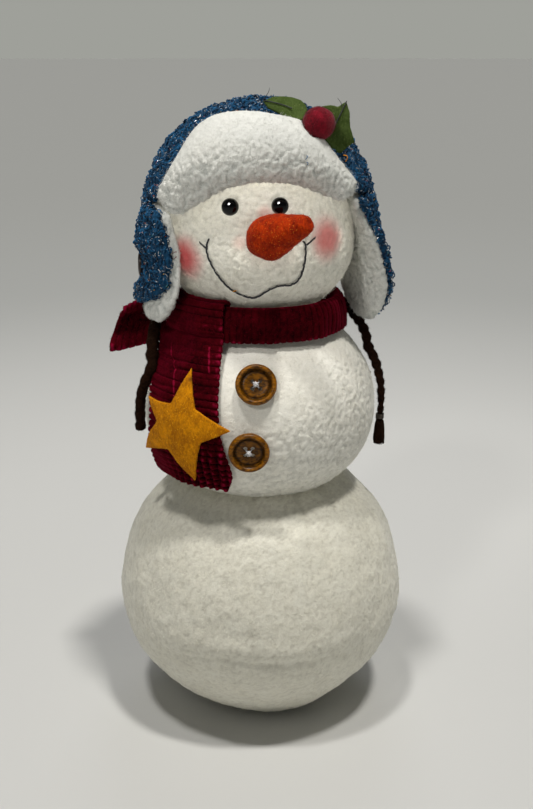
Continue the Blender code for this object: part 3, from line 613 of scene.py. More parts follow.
# %% Places on the face
EYE_PLACES = ((-14.3 * MM, 291.8 * MM), (10.1 * MM, 292.3 * MM))
NOSE_ROOT = Vector((-1.5, -48.0, 276.5)) * MM
SMILE = (
    (-24.9, 276.2), (-26.2, 271.6), (-24.9, 265.9), (-20.6, 258.0), (-14.7, 251.2), (-6.8, 246.9),
    (-1.5, 246.6), (4.2, 250.5), (9.8, 252.9), (16.2, 253.2), (20.4, 257.2), (22.6, 265.5), (22.8, 272.6),
    (21.4, 275.9),
)
LEFT_CROSS = ((-29.8, 274.4), (-25.9, 271.2))
RIGHT_CROSS = ((23.0, 273.0), (28.0, 276.8))


def on_face(x, z, lift=0.0):
    """A point of the face at x and z, raised by lift."""
    half = (HEAD_UP if z > HEAD_CENTRE[2] else HEAD_DOWN) + lift
    radius = HEAD_RADIUS + lift
    across = (x - HEAD_CENTRE[0]) / radius
    upward = (z - HEAD_CENTRE[2]) / half
    return Vector((x, HEAD_CENTRE[1] - math.sqrt(max(1 - across ** 2 - upward ** 2, 0.0)) * radius, z))


def smooth_run(values, places):
    """Read a smooth curve through evenly spaced values at places from 0 to 1."""
    values = np.asarray(values, float)
    last = len(values) - 1
    at = np.clip(np.asarray(places, float) * last, 0, last)
    i = np.minimum(at.astype(int), last - 1)
    t = (at - i).reshape(-1, *([1] * (values.ndim - 1)))
    before, a = values[np.maximum(i - 1, 0)], values[i]
    b, after = values[i + 1], values[np.minimum(i + 2, last)]
    bend = 2 * before - 5 * a + 4 * b - after
    return 0.5 * (2 * a + (b - before) * t + bend * t ** 2 + (3 * a - before - 3 * b + after) * t ** 3)


def even_line(points, spacing):
    """Points at even spacing along a smooth curve through the given ones."""
    dense = smooth_run(points, np.linspace(0, 1, 40 * len(points)))
    gone = np.concatenate([[0], np.cumsum(np.linalg.norm(np.diff(dense, axis=0), axis=1))])
    wanted = np.linspace(0, gone[-1], max(int(round(gone[-1] / spacing)), 2) + 1)
    return np.stack([np.interp(wanted, gone, dense[:, k]) for k in range(3)], axis=1)


smile_line = even_line([on_face(x * MM, z * MM) for x, z in SMILE], 0.5 * MM)
print("smile is", round(len(smile_line) * 0.5), "mm long")

# %% Head ball
from mathutils import kdtree

furrow = kdtree.KDTree(len(smile_line))
for index, place in enumerate(smile_line):
    furrow.insert(place, index)
furrow.balance()
eye_marks = [on_face(x, z) for x, z in EYE_PLACES]


def head_shape(p):
    """Furrow under the smile, dimples at the eyes and a hollow at the nose."""
    push = -0.75 * MM * math.exp(-(furrow.find(p)[2] / (1.1 * MM)) ** 2)
    for mark in eye_marks:
        gap = (p - mark).length
        push -= 1.0 * MM * math.exp(-(gap / (4.6 * MM)) ** 4)
        push += 0.35 * MM * math.exp(-((gap - 6.0 * MM) / (1.6 * MM)) ** 2)
    push -= 0.7 * MM * math.exp(-((p - NOSE_ROOT).length / (12 * MM)) ** 4)
    return push


# The two cheeks carry real red blush; the two small pale pink spots by the nose root are painted glow, the nose's
# orange light thrown back onto the fleece.
BLUSH_AND_NOSE_GLOW = (
    ((35.2 * MM, -36.4 * MM, 275.3 * MM), 17.5 * MM, "#E4625F", 0.8),
    ((-37.6 * MM, -36.0 * MM, 265.0 * MM), 16.5 * MM, "#D94448", 0.92),
    ((2.8 * MM, -47.2 * MM, 288.6 * MM), 6.5 * MM, "#EFA79A", 0.45),
    ((-9.5 * MM, -49.0 * MM, 275.0 * MM), 6.0 * MM, "#F0B9A8", 0.35),
)
face_fleece = fleece("brushed_fleece_face", "#F7F5EB", "#E0DDD0", "#F3EFE0", patch_mm=18.0, blush_and_glow=BLUSH_AND_NOSE_GLOW)
head_ball = stuffed_ball("head_fleece", HEAD_CENTRE, HEAD_RADIUS, HEAD_UP, HEAD_DOWN)
even_skin(head_ball, 0.98 * MM, 5)
raise_tufts(head_ball, 2.4 * MM, 0.5 * MM, 24 * MM, 0.7 * MM, head_shape, nubby=0.55)
head_ball.data.materials.append(face_fleece)
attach(head_ball, "root")
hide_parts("head_ball")
say(head_ball)


def head_shown(points):
    """The head's skin that can be seen: under the cap's edge, above the scarf, clear of eyes and nose."""
    cap_edge = 286.5 * MM - 0.42 * points[:, 1] + 0.04 * points[:, 0]
    shown = (points[:, 2] < cap_edge + 4 * MM) & (points[:, 2] > 234 * MM)
    for mark in eye_marks:
        shown &= np.linalg.norm(points - np.asarray(mark), axis=1) > 4.2 * MM
    shown &= np.linalg.norm(points - np.asarray(NOSE_ROOT), axis=1) > 8.0 * MM
    near_smile = np.array([furrow.find(p)[2] for p in points]) < 1.4 * MM
    return np.where(shown, np.where(near_smile, 0.08, 1.0), 0.0)


head_pile = lay_pile("head_pile", head_ball, 12000, 1.3 * MM, 0.42 * MM, 0.28 * MM,
                     10000, 1.4 * MM, 31, head_shown)
say(head_pile)

# %% [markdown]
# ## Eyes
# Each eye is a black glass bead on a wire, pulled down until it sits in its dimple. Glass is smooth, so
# its only colour is the reflection of the soft boxes, and it needs a truly round mesh.

# %% Bead eyes
bead_glass, tree, shader = new_material("black_bead_glass")
where = add(tree, "TexCoord")
streak = soft_noise(tree, 260.0, 2.0, where.outputs["Object"])
tone = mix(tree, {6: from_hex("#020203"), 7: from_hex("#07080B")}, {0: streak.outputs["Fac"]})
tree.links.new(tone.outputs[2], shader.inputs["Base Color"])
shader.inputs["Roughness"].default_value = 0.05
shader.inputs["IOR"].default_value = 1.45
shader.inputs["Specular IOR Level"].default_value = 0.3

for side, (x, z) in zip(("left", "right"), EYE_PLACES):
    bpy.ops.object.select_all(action="DESELECT")
    bpy.ops.mesh.primitive_uv_sphere_add(segments=48, ring_count=32, radius=4.3 * MM)
    bead = bpy.context.object
    bead.name = side + "_eye_bead"
    bpy.ops.object.mode_set(mode="EDIT")
    bpy.ops.mesh.select_all(action="SELECT")
    bpy.ops.transform.resize(value=(1.0, 1.0, 0.93))
    bpy.ops.object.mode_set(mode="OBJECT")
    outward = (on_face(x, z) - Vector(HEAD_CENTRE)).normalized()
    outward = (outward + Vector((0.0, -0.6, 0.0))).normalized()
    bead.rotation_euler = outward.to_track_quat("Z", "Y").to_euler()
    bead.location = on_face(x, z, 0.4 * MM)
    bake_place(bead)
    bead.data.shade_smooth()
    bead.data.materials.append(bead_glass)
    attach(bead, "root")
    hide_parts(side + "_eye")
    say(bead)

# %% [markdown]
# ## Smile
# The smile is a running stitch in thick dark thread. From outside a running stitch is a row of short
# bars: each comes up through the cloth, lies along it for 3 or 4 mm and dives back in. So every stitch
# is its own closed rod that sinks at both ends. The thread is two yarns twisted together, which shows
# as a slanting groove, so the rod's radius rises and falls as it goes round and along.

# %% Rods


def rod_arrays(line, radii, sides=10, groove=0.0, turns_per_m=0.0, strands=2):
    """Points and faces of a closed rod along a line; its ends narrow to a point."""
    line = np.asarray(line, float)
    line = np.concatenate([line[:1], line, line[-1:]])
    radii = np.concatenate([[0.0], np.broadcast_to(radii, len(line) - 2), [0.0]])
    run = np.gradient(line[1:-1], axis=0)
    run = np.concatenate([run[:1], run, run[-1:]])
    run /= np.linalg.norm(run, axis=1, keepdims=True)
    guide = np.eye(3)[np.argmin(np.abs(run.mean(axis=0)))]
    side = np.cross(run, guide)
    side /= np.linalg.norm(side, axis=1, keepdims=True)
    up = np.cross(side, run)
    gone = np.concatenate([[0], np.cumsum(np.linalg.norm(np.diff(line, axis=0), axis=1))])
    angle = 2 * math.pi * np.arange(sides) / sides
    swell = 1 + groove * (np.abs(np.cos(strands / 2 * (angle[None, :] - 2 * math.pi * turns_per_m
                                                       * gone[:, None]))) - 0.6)
    reach = (radii[:, None] * swell)[..., None]
    points = line[:, None, :] + reach * (side[:, None, :] * np.cos(angle)[None, :, None]
                                         + up[:, None, :] * np.sin(angle)[None, :, None])
    rows = len(line)
    a = np.arange(rows - 1)[:, None] * sides + np.arange(sides)[None, :]
    b = np.arange(rows - 1)[:, None] * sides + (np.arange(sides)[None, :] + 1) % sides
    faces = np.stack([a, b, b + sides, a + sides], axis=2).reshape(-1, 4)
    return points.reshape(-1, 3), faces


def join_arrays(parts):
    """Several lots of points and faces as one."""
    points, faces, count = [], [], 0
    for some_points, some_faces in parts:
        points.append(some_points)
        faces.append(some_faces + count)
        count += len(some_points)
    return np.concatenate(points), np.concatenate(faces)


def close_up(piece, gap=0.004 * MM):
    """Merge points that lie together, and turn every face outwards."""
    pick(piece)
    bpy.ops.object.mode_set(mode="EDIT")
    bpy.ops.mesh.select_all(action="SELECT")
    bpy.ops.mesh.remove_doubles(threshold=gap)
    bpy.ops.mesh.normals_make_consistent(inside=False)
    bpy.ops.object.mode_set(mode="OBJECT")
    return piece


def finish_piece(piece, slot, *nodes):
    """Make a piece part of the figure: it rides and stands for its solids; slot is not used."""
    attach(piece, "root")
    if nodes:
        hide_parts(*nodes)
    say(piece)
    return piece


# %% Thread material


def thread(name, dark, light, roughness=0.6, ply_mm=0.5):
    """Twisted cotton thread with a slanting ply and a little sheen."""
    made, tree, shader = new_material(name)
    where = add(tree, "TexCoord")
    ply = add(tree, "TexWave", {"Scale": 1000 / ply_mm / 6.3, "Distortion": 2.0, "Detail": 2.0},
              {"Vector": where.outputs["Object"]}, wave_type="BANDS", bands_direction="DIAGONAL")
    # The dark bands of the twist are painted shade in the grooves between the plies.
    tone = mix(tree, {6: from_hex(dark), 7: from_hex(light)}, {0: ply.outputs["Fac"]})
    tree.links.new(tone.outputs[2], shader.inputs["Base Color"])
    bump = add(tree, "Bump", {"Strength": 0.6, "Distance": 0.1 * MM}, {"Height": ply.outputs["Fac"]})
    tree.links.new(bump.outputs["Normal"], shader.inputs["Normal"])
    shader.inputs["Roughness"].default_value = roughness
    shader.inputs["Sheen Weight"].default_value = 0.3
    return made


dark_thread = thread("twisted_cotton_thread_navy", "#04050B", "#141726")

# %% Smile stitches
THREAD_RADIUS = 0.46 * MM


def stitch(line, lift, sink=0.9 * MM, radius=THREAD_RADIUS):
    """One stitch: it lies on the skin and dives in at both ends."""
    line = np.asarray(line, float)
    share = np.linspace(0, 1, len(line))
    out = line - np.asarray(HEAD_CENTRE)
    out /= np.linalg.norm(out, axis=1, keepdims=True)
    height = lift - sink * np.abs(2 * share - 1) ** 6
    return rod_arrays(line + out * height[:, None], np.full(len(line), radius), 10, 0.35, 420)


parts = []
STITCH_POINTS = 8
for start in range(0, len(smile_line) - 3, STITCH_POINTS):
    piece_of_line = smile_line[start:start + STITCH_POINTS + 1]
    parts.append(stitch(piece_of_line, 0.12 * MM, 0.75 * MM))
smile = mesh_piece("smile_stitches", *join_arrays(parts), material=dark_thread)
close_up(smile)
finish_piece(smile, "dark_thread", "smile_thread")
for side, cross in (("left", LEFT_CROSS), ("right", RIGHT_CROSS)):
    line = even_line([on_face(x * MM, z * MM) for x, z in (cross[0], ((cross[0][0] + cross[1][0]) / 2,
                      (cross[0][1] + cross[1][1]) / 2), cross[1])], 0.4 * MM)
    tick = mesh_piece(side + "_smile_tick", *stitch(line, 0.3 * MM), material=dark_thread)
    close_up(tick)
    finish_piece(tick, "dark_thread", side + "_smile_stitch")

# %% [markdown]
# ## Felt
# Felt has no weave: its fibres are matted, pressed or needled together until they hold. The nose and
# the berry are needle-felted wool, so they are lumpy solids with stray hairs. The star and the leaves
# are cut from pressed felt, a flat sheet that is 1.5 mm thick, and so they keep a sharp outline with a
# soft edge. All take one kind of material: a mottle of two dyes, and a matted grain that is stretched a
# little one way.

# %% Felt material


def felt(name, light, dark, stray, grain_mm=0.9, bump=0.6, sheen=0.35):
    """Matted wool: two close shades, a few stray fibres of a third, and a soft bloom."""
    made, tree, shader = new_material(name)
    where = add(tree, "TexCoord")
    strand = add(tree, "Attribute", attribute_name="strand")
    pull = add(tree, "Mapping", {"Scale": (1.0, 1.0, 0.55)}, {"Vector": where.outputs["Object"]})
    mat_grain = add(tree, "TexNoise", {"Scale": 1000 / grain_mm, "Detail": 4.0, "Distortion": 0.8},
                    {"Vector": pull.outputs["Vector"]})
    cloud = soft_noise(tree, 150.0, 3.0, where.outputs["Object"])
    both = maths(tree, "ADD", {2: 0.0}, {0: mat_grain.outputs["Fac"], 1: cloud.outputs["Fac"]})
    level = add(tree, "MapRange", {"From Min": 0.78, "From Max": 1.22}, {"Value": both.outputs[0]})
    tone = mix(tree, {6: from_hex(dark), 7: from_hex(light)}, {0: level.outputs["Result"]})
    far = soft_noise(tree, 1400.0, 1.0, where.outputs["Object"])
    few = add(tree, "MapRange", {"From Min": 0.66, "From Max": 0.74, "To Max": 0.7},
              {"Value": far.outputs["Fac"]})
    mixed = mix(tree, {7: from_hex(stray)}, {0: few.outputs["Result"], 6: tone.outputs[2]})
    own = maths(tree, "MULTIPLY_ADD", {1: 0.4, 2: 0.8}, {0: strand.outputs["Fac"]})
    tinted = vectors(tree, "SCALE", feeds={0: mixed.outputs[2], "Scale": own.outputs[0]})
    tree.links.new(tinted.outputs["Vector"], shader.inputs["Base Color"])
    lift = add(tree, "Bump", {"Strength": bump, "Distance": 0.25 * MM}, {"Height": mat_grain.outputs["Fac"]})
    tree.links.new(lift.outputs["Normal"], shader.inputs["Normal"])
    shader.inputs["Roughness"].default_value = 0.85
    shader.inputs["Specular IOR Level"].default_value = 0.12
    shader.inputs["Sheen Weight"].default_value = sheen
    shader.inputs["Sheen Roughness"].default_value = 0.45
    return made


# %% Copy of a soft solid


def soft_copy(name, node, voxel, rounds=6, rounder=0):
    """A copy of a node's solid, merged, rounded and given one even net."""
    made = bpy.data.objects.new(name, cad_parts[node].data.copy())
    scene.collection.objects.link(made)
    made.data.materials.clear()
    close_up(made, 0.01 * MM)
    if rounder:
        soft = made.modifiers.new("rounder", "SUBSURF")
        soft.levels = rounder
        soft.render_levels = rounder
    return even_skin(made, voxel, rounds)


# %% Nose
carrot_felt = felt("needle_felt_orange", "#BC3600", "#821A00", "#F49030", grain_mm=0.9, bump=0.9, sheen=0.02)
NOSE_BASE = Vector((-1.5, -46.5, 275.4)) * MM
NOSE_TIP = Vector((23.2, -72.5, 288.0)) * MM
NOSE_RADII = (6.5, 8.8, 9.9, 10.4, 10.4, 10.1, 9.6, 8.9, 8.1, 7.3, 6.4, 5.6, 4.9, 3.3)


def nose_shape(p):
    """The lumps of needle felting: two lobes under the root, with a nick between them."""
    push = 2.4 * MM * math.exp(-((p - Vector((-9.0, -52, 269.5)) * MM).length / (4.5 * MM)) ** 2)
    push += 1.9 * MM * math.exp(-((p - Vector((7.0, -60, 267.5)) * MM).length / (6 * MM)) ** 2)
    push -= 1.7 * MM * math.exp(-((p - Vector((-3.0, -56, 265.8)) * MM).length / (2.8 * MM)) ** 2)
    return push


nose_line = np.linspace(NOSE_BASE, NOSE_TIP, len(NOSE_RADII))
nose = mesh_piece("nose_felt", *rod_arrays(nose_line, np.array(NOSE_RADII) * MM, 32))
close_up(nose)
even_skin(nose, 0.55 * MM, 10)
raise_tufts(nose, 2.4 * MM, 0.3 * MM, 6 * MM, 0.3 * MM, nose_shape)
nose.data.materials.append(carrot_felt)
finish_piece(nose, "orange_felt", "nose")
nose_hairs = lay_pile("nose_stray_hairs", nose, 1500, 2.4 * MM, 0.16 * MM, 0.3 * MM, 1500, 1.3 * MM, 41,
                      hair_width=0.09 * MM)

# %% [markdown]
# ## Trapper cap
# The cap has an outside of knitted bouclé yarn with tinsel, a lining of white sherpa fleece, a brim that
# is turned up at the front, and two ear flaps. Bouclé is a yarn spun with loops: the cloth looks like a
# dense crowd of small curls with dark gaps. So the cloth's solid gets lumps, and some thousands of
# small curls of yarn, each a short arc of a rod, stand on it. The tinsel is a flat metallised strip, and
# a few hundred bent slivers of it catch the soft boxes one by one.

# %% Bouclé and tinsel materials


def boucle(name, gap_shade, middle, bright):
    """Dyed loop yarn: every curl has its own tone, and the gaps between the curls are dark with painted shade."""
    made, tree, shader = new_material(name)
    where = add(tree, "TexCoord")
    nap = add(tree, "Attribute", attribute_name="nap")
    strand = add(tree, "Attribute", attribute_name="strand")
    fuzz = soft_noise(tree, 1600.0, 3.0, where.outputs["Object"])
    shade = add(tree, "MapRange", {"From Min": 0.1, "From Max": 0.95}, {"Value": strand.outputs["Fac"]})
    yarn = mix(tree, {6: from_hex(middle), 7: from_hex(bright)}, {0: shade.outputs["Result"]})
    # Painted shade: the gaps between the tufts take the near black gap colour.
    high = maths(tree, "MULTIPLY_ADD", {1: 0.55}, {0: nap.outputs["Fac"]})
    rough_fuzz = maths(tree, "MULTIPLY", {1: 0.6}, {0: fuzz.outputs["Fac"]})
    tree.links.new(rough_fuzz.outputs[0], high.inputs[2])
    body = mix(tree, {6: from_hex(gap_shade)}, {0: high.outputs[0], 7: yarn.outputs[2]})
    tree.links.new(body.outputs[2], shader.inputs["Base Color"])
    lift = add(tree, "Bump", {"Strength": 0.7, "Distance": 0.2 * MM}, {"Height": fuzz.outputs["Fac"]})
    tree.links.new(lift.outputs["Normal"], shader.inputs["Normal"])
    shader.inputs["Roughness"].default_value = 0.75
    shader.inputs["Specular IOR Level"].default_value = 0.2
    shader.inputs["Sheen Weight"].default_value = 0.08
    shader.inputs["Sheen Roughness"].default_value = 0.4
    return made


blue_boucle = boucle("boucle_yarn_blue", "#010A14", "#072844", "#1F6A9C")

tinsel_foil, tree, shader = new_material("tinsel_foil")
strand = add(tree, "Attribute", attribute_name="strand")
hue = add(tree, "ValToRGB", feeds={"Fac": strand.outputs["Fac"]})
hue.color_ramp.interpolation = "CONSTANT"
hue.color_ramp.elements[0].color = from_hex("#F4F7FA")
hue.color_ramp.elements[1].position = 0.66
hue.color_ramp.elements[1].color = from_hex("#9CC4E8")
for place, tint in ((0.86, "#F2C36B"), (0.90, "#E8794A"), (0.94, "#E06A86"), (0.965, "#7FD6D8")):
    stop = hue.color_ramp.elements.new(place)
    stop.color = from_hex(tint)
tree.links.new(hue.outputs["Color"], shader.inputs["Base Color"])
shader.inputs["Metallic"].default_value = 0.45
shader.inputs["Roughness"].default_value = 0.25

# %% Curls of yarn


def lay_curled_yarn(name, piece, count, ring, yarn, seed, keep=None, material=None):
    """Short arcs of yarn that stand on a piece at all angles, as one mesh."""
    spot, out, high, rng = scatter(piece, count, seed, keep)
    way = sideways(out, rng)
    side = np.cross(out, way)
    lean = rng.normal(0.0, 0.75, count)[:, None]
    axis = side * np.cos(lean) + out * np.sin(lean)
    rise = np.cross(way, axis)
    size = ring * rng.uniform(0.65, 1.25, count)
    turn = rng.uniform(0.9, 1.7, count)[:, None] * math.pi
    u = np.linspace(-0.5, 0.5, 5)[None, :]
    angle = turn * u
    centre = spot[:, None, :] + out[:, None, :] * (size * 0.25)[:, None, None]
    radial = way[:, None, :] * np.sin(angle)[..., None] + rise[:, None, :] * np.cos(angle)[..., None]
    line = centre + radial * size[:, None, None]
    thick = yarn * rng.uniform(0.75, 1.2, count)[:, None] * np.array([0.6, 1, 1, 1, 0.6])[None, :]
    sides = 3
    around = 2 * math.pi * np.arange(sides) / sides
    reach = (radial[:, :, None, :] * np.cos(around)[None, None, :, None]
             + axis[:, None, None, :] * np.sin(around)[None, None, :, None])
    points = line[:, :, None, :] + reach * thick[:, :, None, None]
    steps = line.shape[1]
    start = (np.arange(count)[:, None, None] * steps + np.arange(steps - 1)[None, :, None]) * sides
    a = start + np.arange(sides)[None, None, :]
    b = start + (np.arange(sides)[None, None, :] + 1) % sides
    faces = np.stack([a, b, b + sides, a + sides], axis=3).reshape(-1, 4)
    # Painted shade: each curl darkens towards its ends, where it dives into the cloth, and where it stands in a gap.
    shade = np.clip(0.35 + 0.65 * np.cos(angle * 0.8), 0, 1) * np.clip(0.5 + high, 0, 1)[:, None]
    numbers = {"nap": np.repeat(shade.reshape(-1), sides), "strand": np.repeat(rng.random(count), steps * sides)}
    made = mesh_piece(name, points.reshape(-1, 3), faces, numbers, material)
    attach(made, "root")
    return made


def lay_tinsel(name, piece, count, length, width, seed, keep=None):
    """Bent slivers of foil caught between the curls."""
    spot, out, _, rng = scatter(piece, count, seed, keep)
    way = sideways(out, rng)
    side = np.cross(out, way)
    roll = rng.uniform(-1.2, 1.2, count)[:, None]
    flat = side * np.cos(roll) + out * np.sin(roll)
    long = length * rng.uniform(0.5, 1.3, count)
    u = np.array([0.0, 0.5, 1.0])
    stand = rng.uniform(0.1, 1.0, count)[:, None]
    line = spot[:, None, :] + way[:, None, :] * (long[:, None] * (u - 0.5))[..., None]
    lift = 0.5 * MM + long[:, None] * stand * (0.35 * u + 0.25 * np.sin(math.pi * u))
    line = line + out[:, None, :] * lift[..., None]
    half = np.repeat(flat[:, None, :], 3, axis=1) * (width / 2 * rng.uniform(0.6, 1.3, count))[:, None, None]
    points, faces, _, strand = ribbon_arrays(line, half, np.ones((count, 3)), rng.random(count))
    made = mesh_piece(name, points, faces, {"strand": strand}, tinsel_foil)
    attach(made, "root")
    return made


# %% Cap crown
CAP_CENTRE = np.array((-0.5, 3.0, 284.0)) * MM


def crown_shape(p):
    """Slack folds of the knit, and the seam that runs from front to back over the crown."""
    seam = math.exp(-((p.x - CAP_CENTRE[0]) / (1.6 * MM)) ** 2) if p.z > 296 * MM else 0.0
    fold = noise.noise(Vector((p.x / 26, p.y / 26, p.z / 9)) / MM)
    return 0.8 * MM * fold - 0.9 * MM * seam


crown = soft_copy("cap_crown_cloth", "cap_crown", 1.1 * MM, 8)
raise_tufts(crown, 3.6 * MM, 1.9 * MM, 11 * MM, 1.2 * MM, crown_shape)
crown.data.materials.append(blue_boucle)
finish_piece(crown, "blue_boucle", "cap_crown")


def outside_cap(points):
    """The outer side of the crown, clear of what the brim covers."""
    off = (points - CAP_CENTRE) / (np.array((60.5, 56.0, 57.2)) * MM)
    outer = (off ** 2).sum(axis=1) > 0.93
    azimuth = np.degrees(np.arctan2(np.abs(points[:, 0]), -points[:, 1]))
    under_brim = (points[:, 1] < -26 * MM) & (points[:, 2] < 326 * MM) & (azimuth < 42)
    return np.where(outer & ~under_brim, 1.0, 0.0)


crown_curls = lay_curled_yarn("cap_crown_curls", crown, 5200, 1.2 * MM, 0.36 * MM, 51, outside_cap, blue_boucle)
crown_tinsel = lay_tinsel("cap_crown_tinsel", crown, 4000, 1.25 * MM, 0.23 * MM, 52, outside_cap)
say(crown_curls)

# %% Cap lining
sherpa = fleece("sherpa_pile_white", "#E2E4E0", "#C2C5C0", "#DEDDD6", patch_mm=20.0)
lining = soft_copy("cap_lining_sherpa", "cap_lining", 1.5 * MM, 5)
raise_tufts(lining, 2.8 * MM, 0.8 * MM, 18 * MM, 0.5 * MM)
lining.data.materials.append(sherpa)
finish_piece(lining, "sherpa_lining", "cap_lining")

# %% Brim
brim = soft_copy("cap_brim_sherpa", "cap_brim", 0.75 * MM, 5, 1)


def brim_shape(p):
    """A little fullness all round, with a fine unevenness."""
    return 0.7 * MM + 0.25 * MM * noise.noise(p * 50)


def over_edge(x, y, z):
    """How far a place on the brim is above its lower edge, which drops towards the ears, in mm."""
    azimuth = np.degrees(np.arctan2(np.abs(x - CAP_CENTRE[0]), CAP_CENTRE[1] - y))
    return z / MM - 304 + 18 * (azimuth / 50) ** 2


def brim_nubs(p):
    """The pile is brushed smooth on top and curled up along the lower edge."""
    return 0.2 + 0.9 * smooth_step((24 - over_edge(*p)) / 14)


BRIM_PULL = 10.0
CAP_AXIS = Vector((CAP_CENTRE[0], CAP_CENTRE[1], 0.0))
for vert in brim.data.vertices:
    azimuth = math.degrees(math.atan2(vert.co.x - CAP_CENTRE[0], CAP_CENTRE[1] - vert.co.y))
    tuck = smooth_step((311 * MM - vert.co.z) / (14 * MM)) * smooth_step((52 - abs(azimuth)) / 20)
    vert.co.y += 4.5 * MM * tuck
    pull_in = math.radians(BRIM_PULL * smooth_step((abs(azimuth) - 12) / 50)) * (1 if azimuth > 0 else -1)
    vert.co = CAP_AXIS + Matrix.Rotation(-pull_in, 3, "Z") @ (vert.co - CAP_AXIS)
raise_tufts(brim, 2.6 * MM, 1.15 * MM, 17 * MM, 0.6 * MM, brim_shape, tuft_share=brim_nubs)
brim.data.materials.append(sherpa)
finish_piece(brim, "sherpa_lining", "cap_brim")


def curled_edge(points):
    """More loose curls towards the lower edge than on the brushed top."""
    return np.clip((28 - over_edge(*points.T)) / 16, 0.22, 1.0)


brim_pile = lay_pile("cap_brim_pile", brim, 9000, 1.35 * MM, 0.5 * MM, 0.26 * MM, 9000, 1.6 * MM, 61, curled_edge)
say(brim_pile)

# %% [markdown]
# ## Ear flaps
# A flap is two cloths sewn edge to edge: the bouclé outside and the sherpa lining, which is thicker and
# swells past the edge. The left flap lies against the cheek. The right one has swung open, so that its
# lining faces forward and only a thin edge of blue shows beyond it.

# %% Flaps
for side, seed in (("left", 71), ("right", 81)):
    outer = soft_copy(side + "_flap_cloth", side + "_flap_outer", 0.8 * MM, 5)
    raise_tufts(outer, 3.4 * MM, 1.2 * MM, 11 * MM, 0.7 * MM)
    outer.data.materials.append(blue_boucle)
    finish_piece(outer, "blue_boucle", side + "_flap_outer")
    curls = lay_curled_yarn(side + "_flap_curls", outer, 1900, 1.2 * MM, 0.36 * MM, seed, None, blue_boucle)
    tinsel = lay_tinsel(side + "_flap_tinsel", outer, 1300, 1.3 * MM, 0.23 * MM, seed + 1)
    pad = soft_copy(side + "_flap_lining_sherpa", side + "_flap_lining", 0.75 * MM, 4, 1)
    raise_tufts(pad, 2.8 * MM, 0.9 * MM, 14 * MM, 0.7 * MM, lambda p: 0.5 * MM)
    pad.data.materials.append(sherpa)
    finish_piece(pad, "sherpa_lining", side + "_flap_lining")
    pile = lay_pile(side + "_flap_pile", pad, 6500, 1.4 * MM, 0.45 * MM, 0.3 * MM, 5000, 1.5 * MM, seed + 2)

# %% [markdown]
# ## Corduroy scarf
# Corduroy is a cut-pile cloth: extra threads are floated over the ground weave and cut, so that they
# stand up in ridges called wales. This one is a jumbo corduroy with a wale every 3.6 mm, and the strip
# was cut so that the wales run across its width. Where the cloth is cut, each wale's pile bulges past
# the edge, so the edge is scalloped. The pile takes light like velvet, and the material paints that in as
# a painted sheen: dark where the cloth faces the eye and bright red where it is seen from the side. The
# grooves get painted shade and the crests and cut edges a painted highlight. Each piece is two nets with
# the thickness of the cloth between them, and the outer one has the wales in it.

# %% Corduroy material
WALE = 3.6 * MM
CLOTH = 1.3 * MM

corduroy, tree, shader = new_material("jumbo_corduroy_burgundy")
where = add(tree, "TexCoord")
nap = add(tree, "Attribute", attribute_name="nap")
strand = add(tree, "Attribute", attribute_name="strand")
pile_noise = soft_noise(tree, 1900.0, 3.0, where.outputs["Object"])
wear = soft_noise(tree, 90.0, 4.0, where.outputs["Object"])
ridge_tone = mix(tree, {6: from_hex("#340206"), 7: from_hex("#520410")}, {0: wear.outputs["Fac"]})
# Painted shade: where the cloth stands low, in the grooves between the wales, it turns near black.
high = add(tree, "MapRange", {"From Min": 0.0, "From Max": 0.7}, {"Value": nap.outputs["Fac"]})
painted_groove_and_crest = mix(tree, {6: from_hex("#0D0002")}, {0: high.outputs["Result"], 7: ridge_tone.outputs[2]})
# Painted highlight: the highest crests and the cut edges turn pink.
crest_highlight = add(tree, "MapRange", {"From Min": 0.72, "From Max": 1.0}, {"Value": nap.outputs["Fac"]})
painted_groove_and_crest = mix(tree, {7: from_hex("#861030")}, {0: crest_highlight.outputs["Result"], 6: painted_groove_and_crest.outputs[2]})
# Painted sheen: the colour turns bright red where the cloth is seen edge-on.
edge_on = add(tree, "LayerWeight", {"Blend": 0.55})
sheen_share = add(tree, "MapRange", {"From Min": 0.25, "From Max": 1.0, "To Max": 0.6},
                {"Value": edge_on.outputs["Facing"]})
painted_sheen = mix(tree, {7: from_hex("#7C0B27")}, {0: sheen_share.outputs["Result"], 6: painted_groove_and_crest.outputs[2]})
own = maths(tree, "MULTIPLY_ADD", {1: 0.8, 2: 0.6}, {0: strand.outputs["Fac"]})
tinted = vectors(tree, "SCALE", feeds={0: painted_sheen.outputs[2], "Scale": own.outputs[0]})
tree.links.new(tinted.outputs["Vector"], shader.inputs["Base Color"])
lift = add(tree, "Bump", {"Strength": 0.5, "Distance": 0.15 * MM}, {"Height": pile_noise.outputs["Fac"]})
tree.links.new(lift.outputs["Normal"], shader.inputs["Normal"])
shader.inputs["Roughness"].default_value = 0.9
shader.inputs["Specular IOR Level"].default_value = 0.02
shader.inputs["Sheen Weight"].default_value = 0.06
shader.inputs["Sheen Roughness"].default_value = 0.4
shader.inputs["Sheen Tint"].default_value = from_hex("#B0183A")

# %% Cloth from a net of points


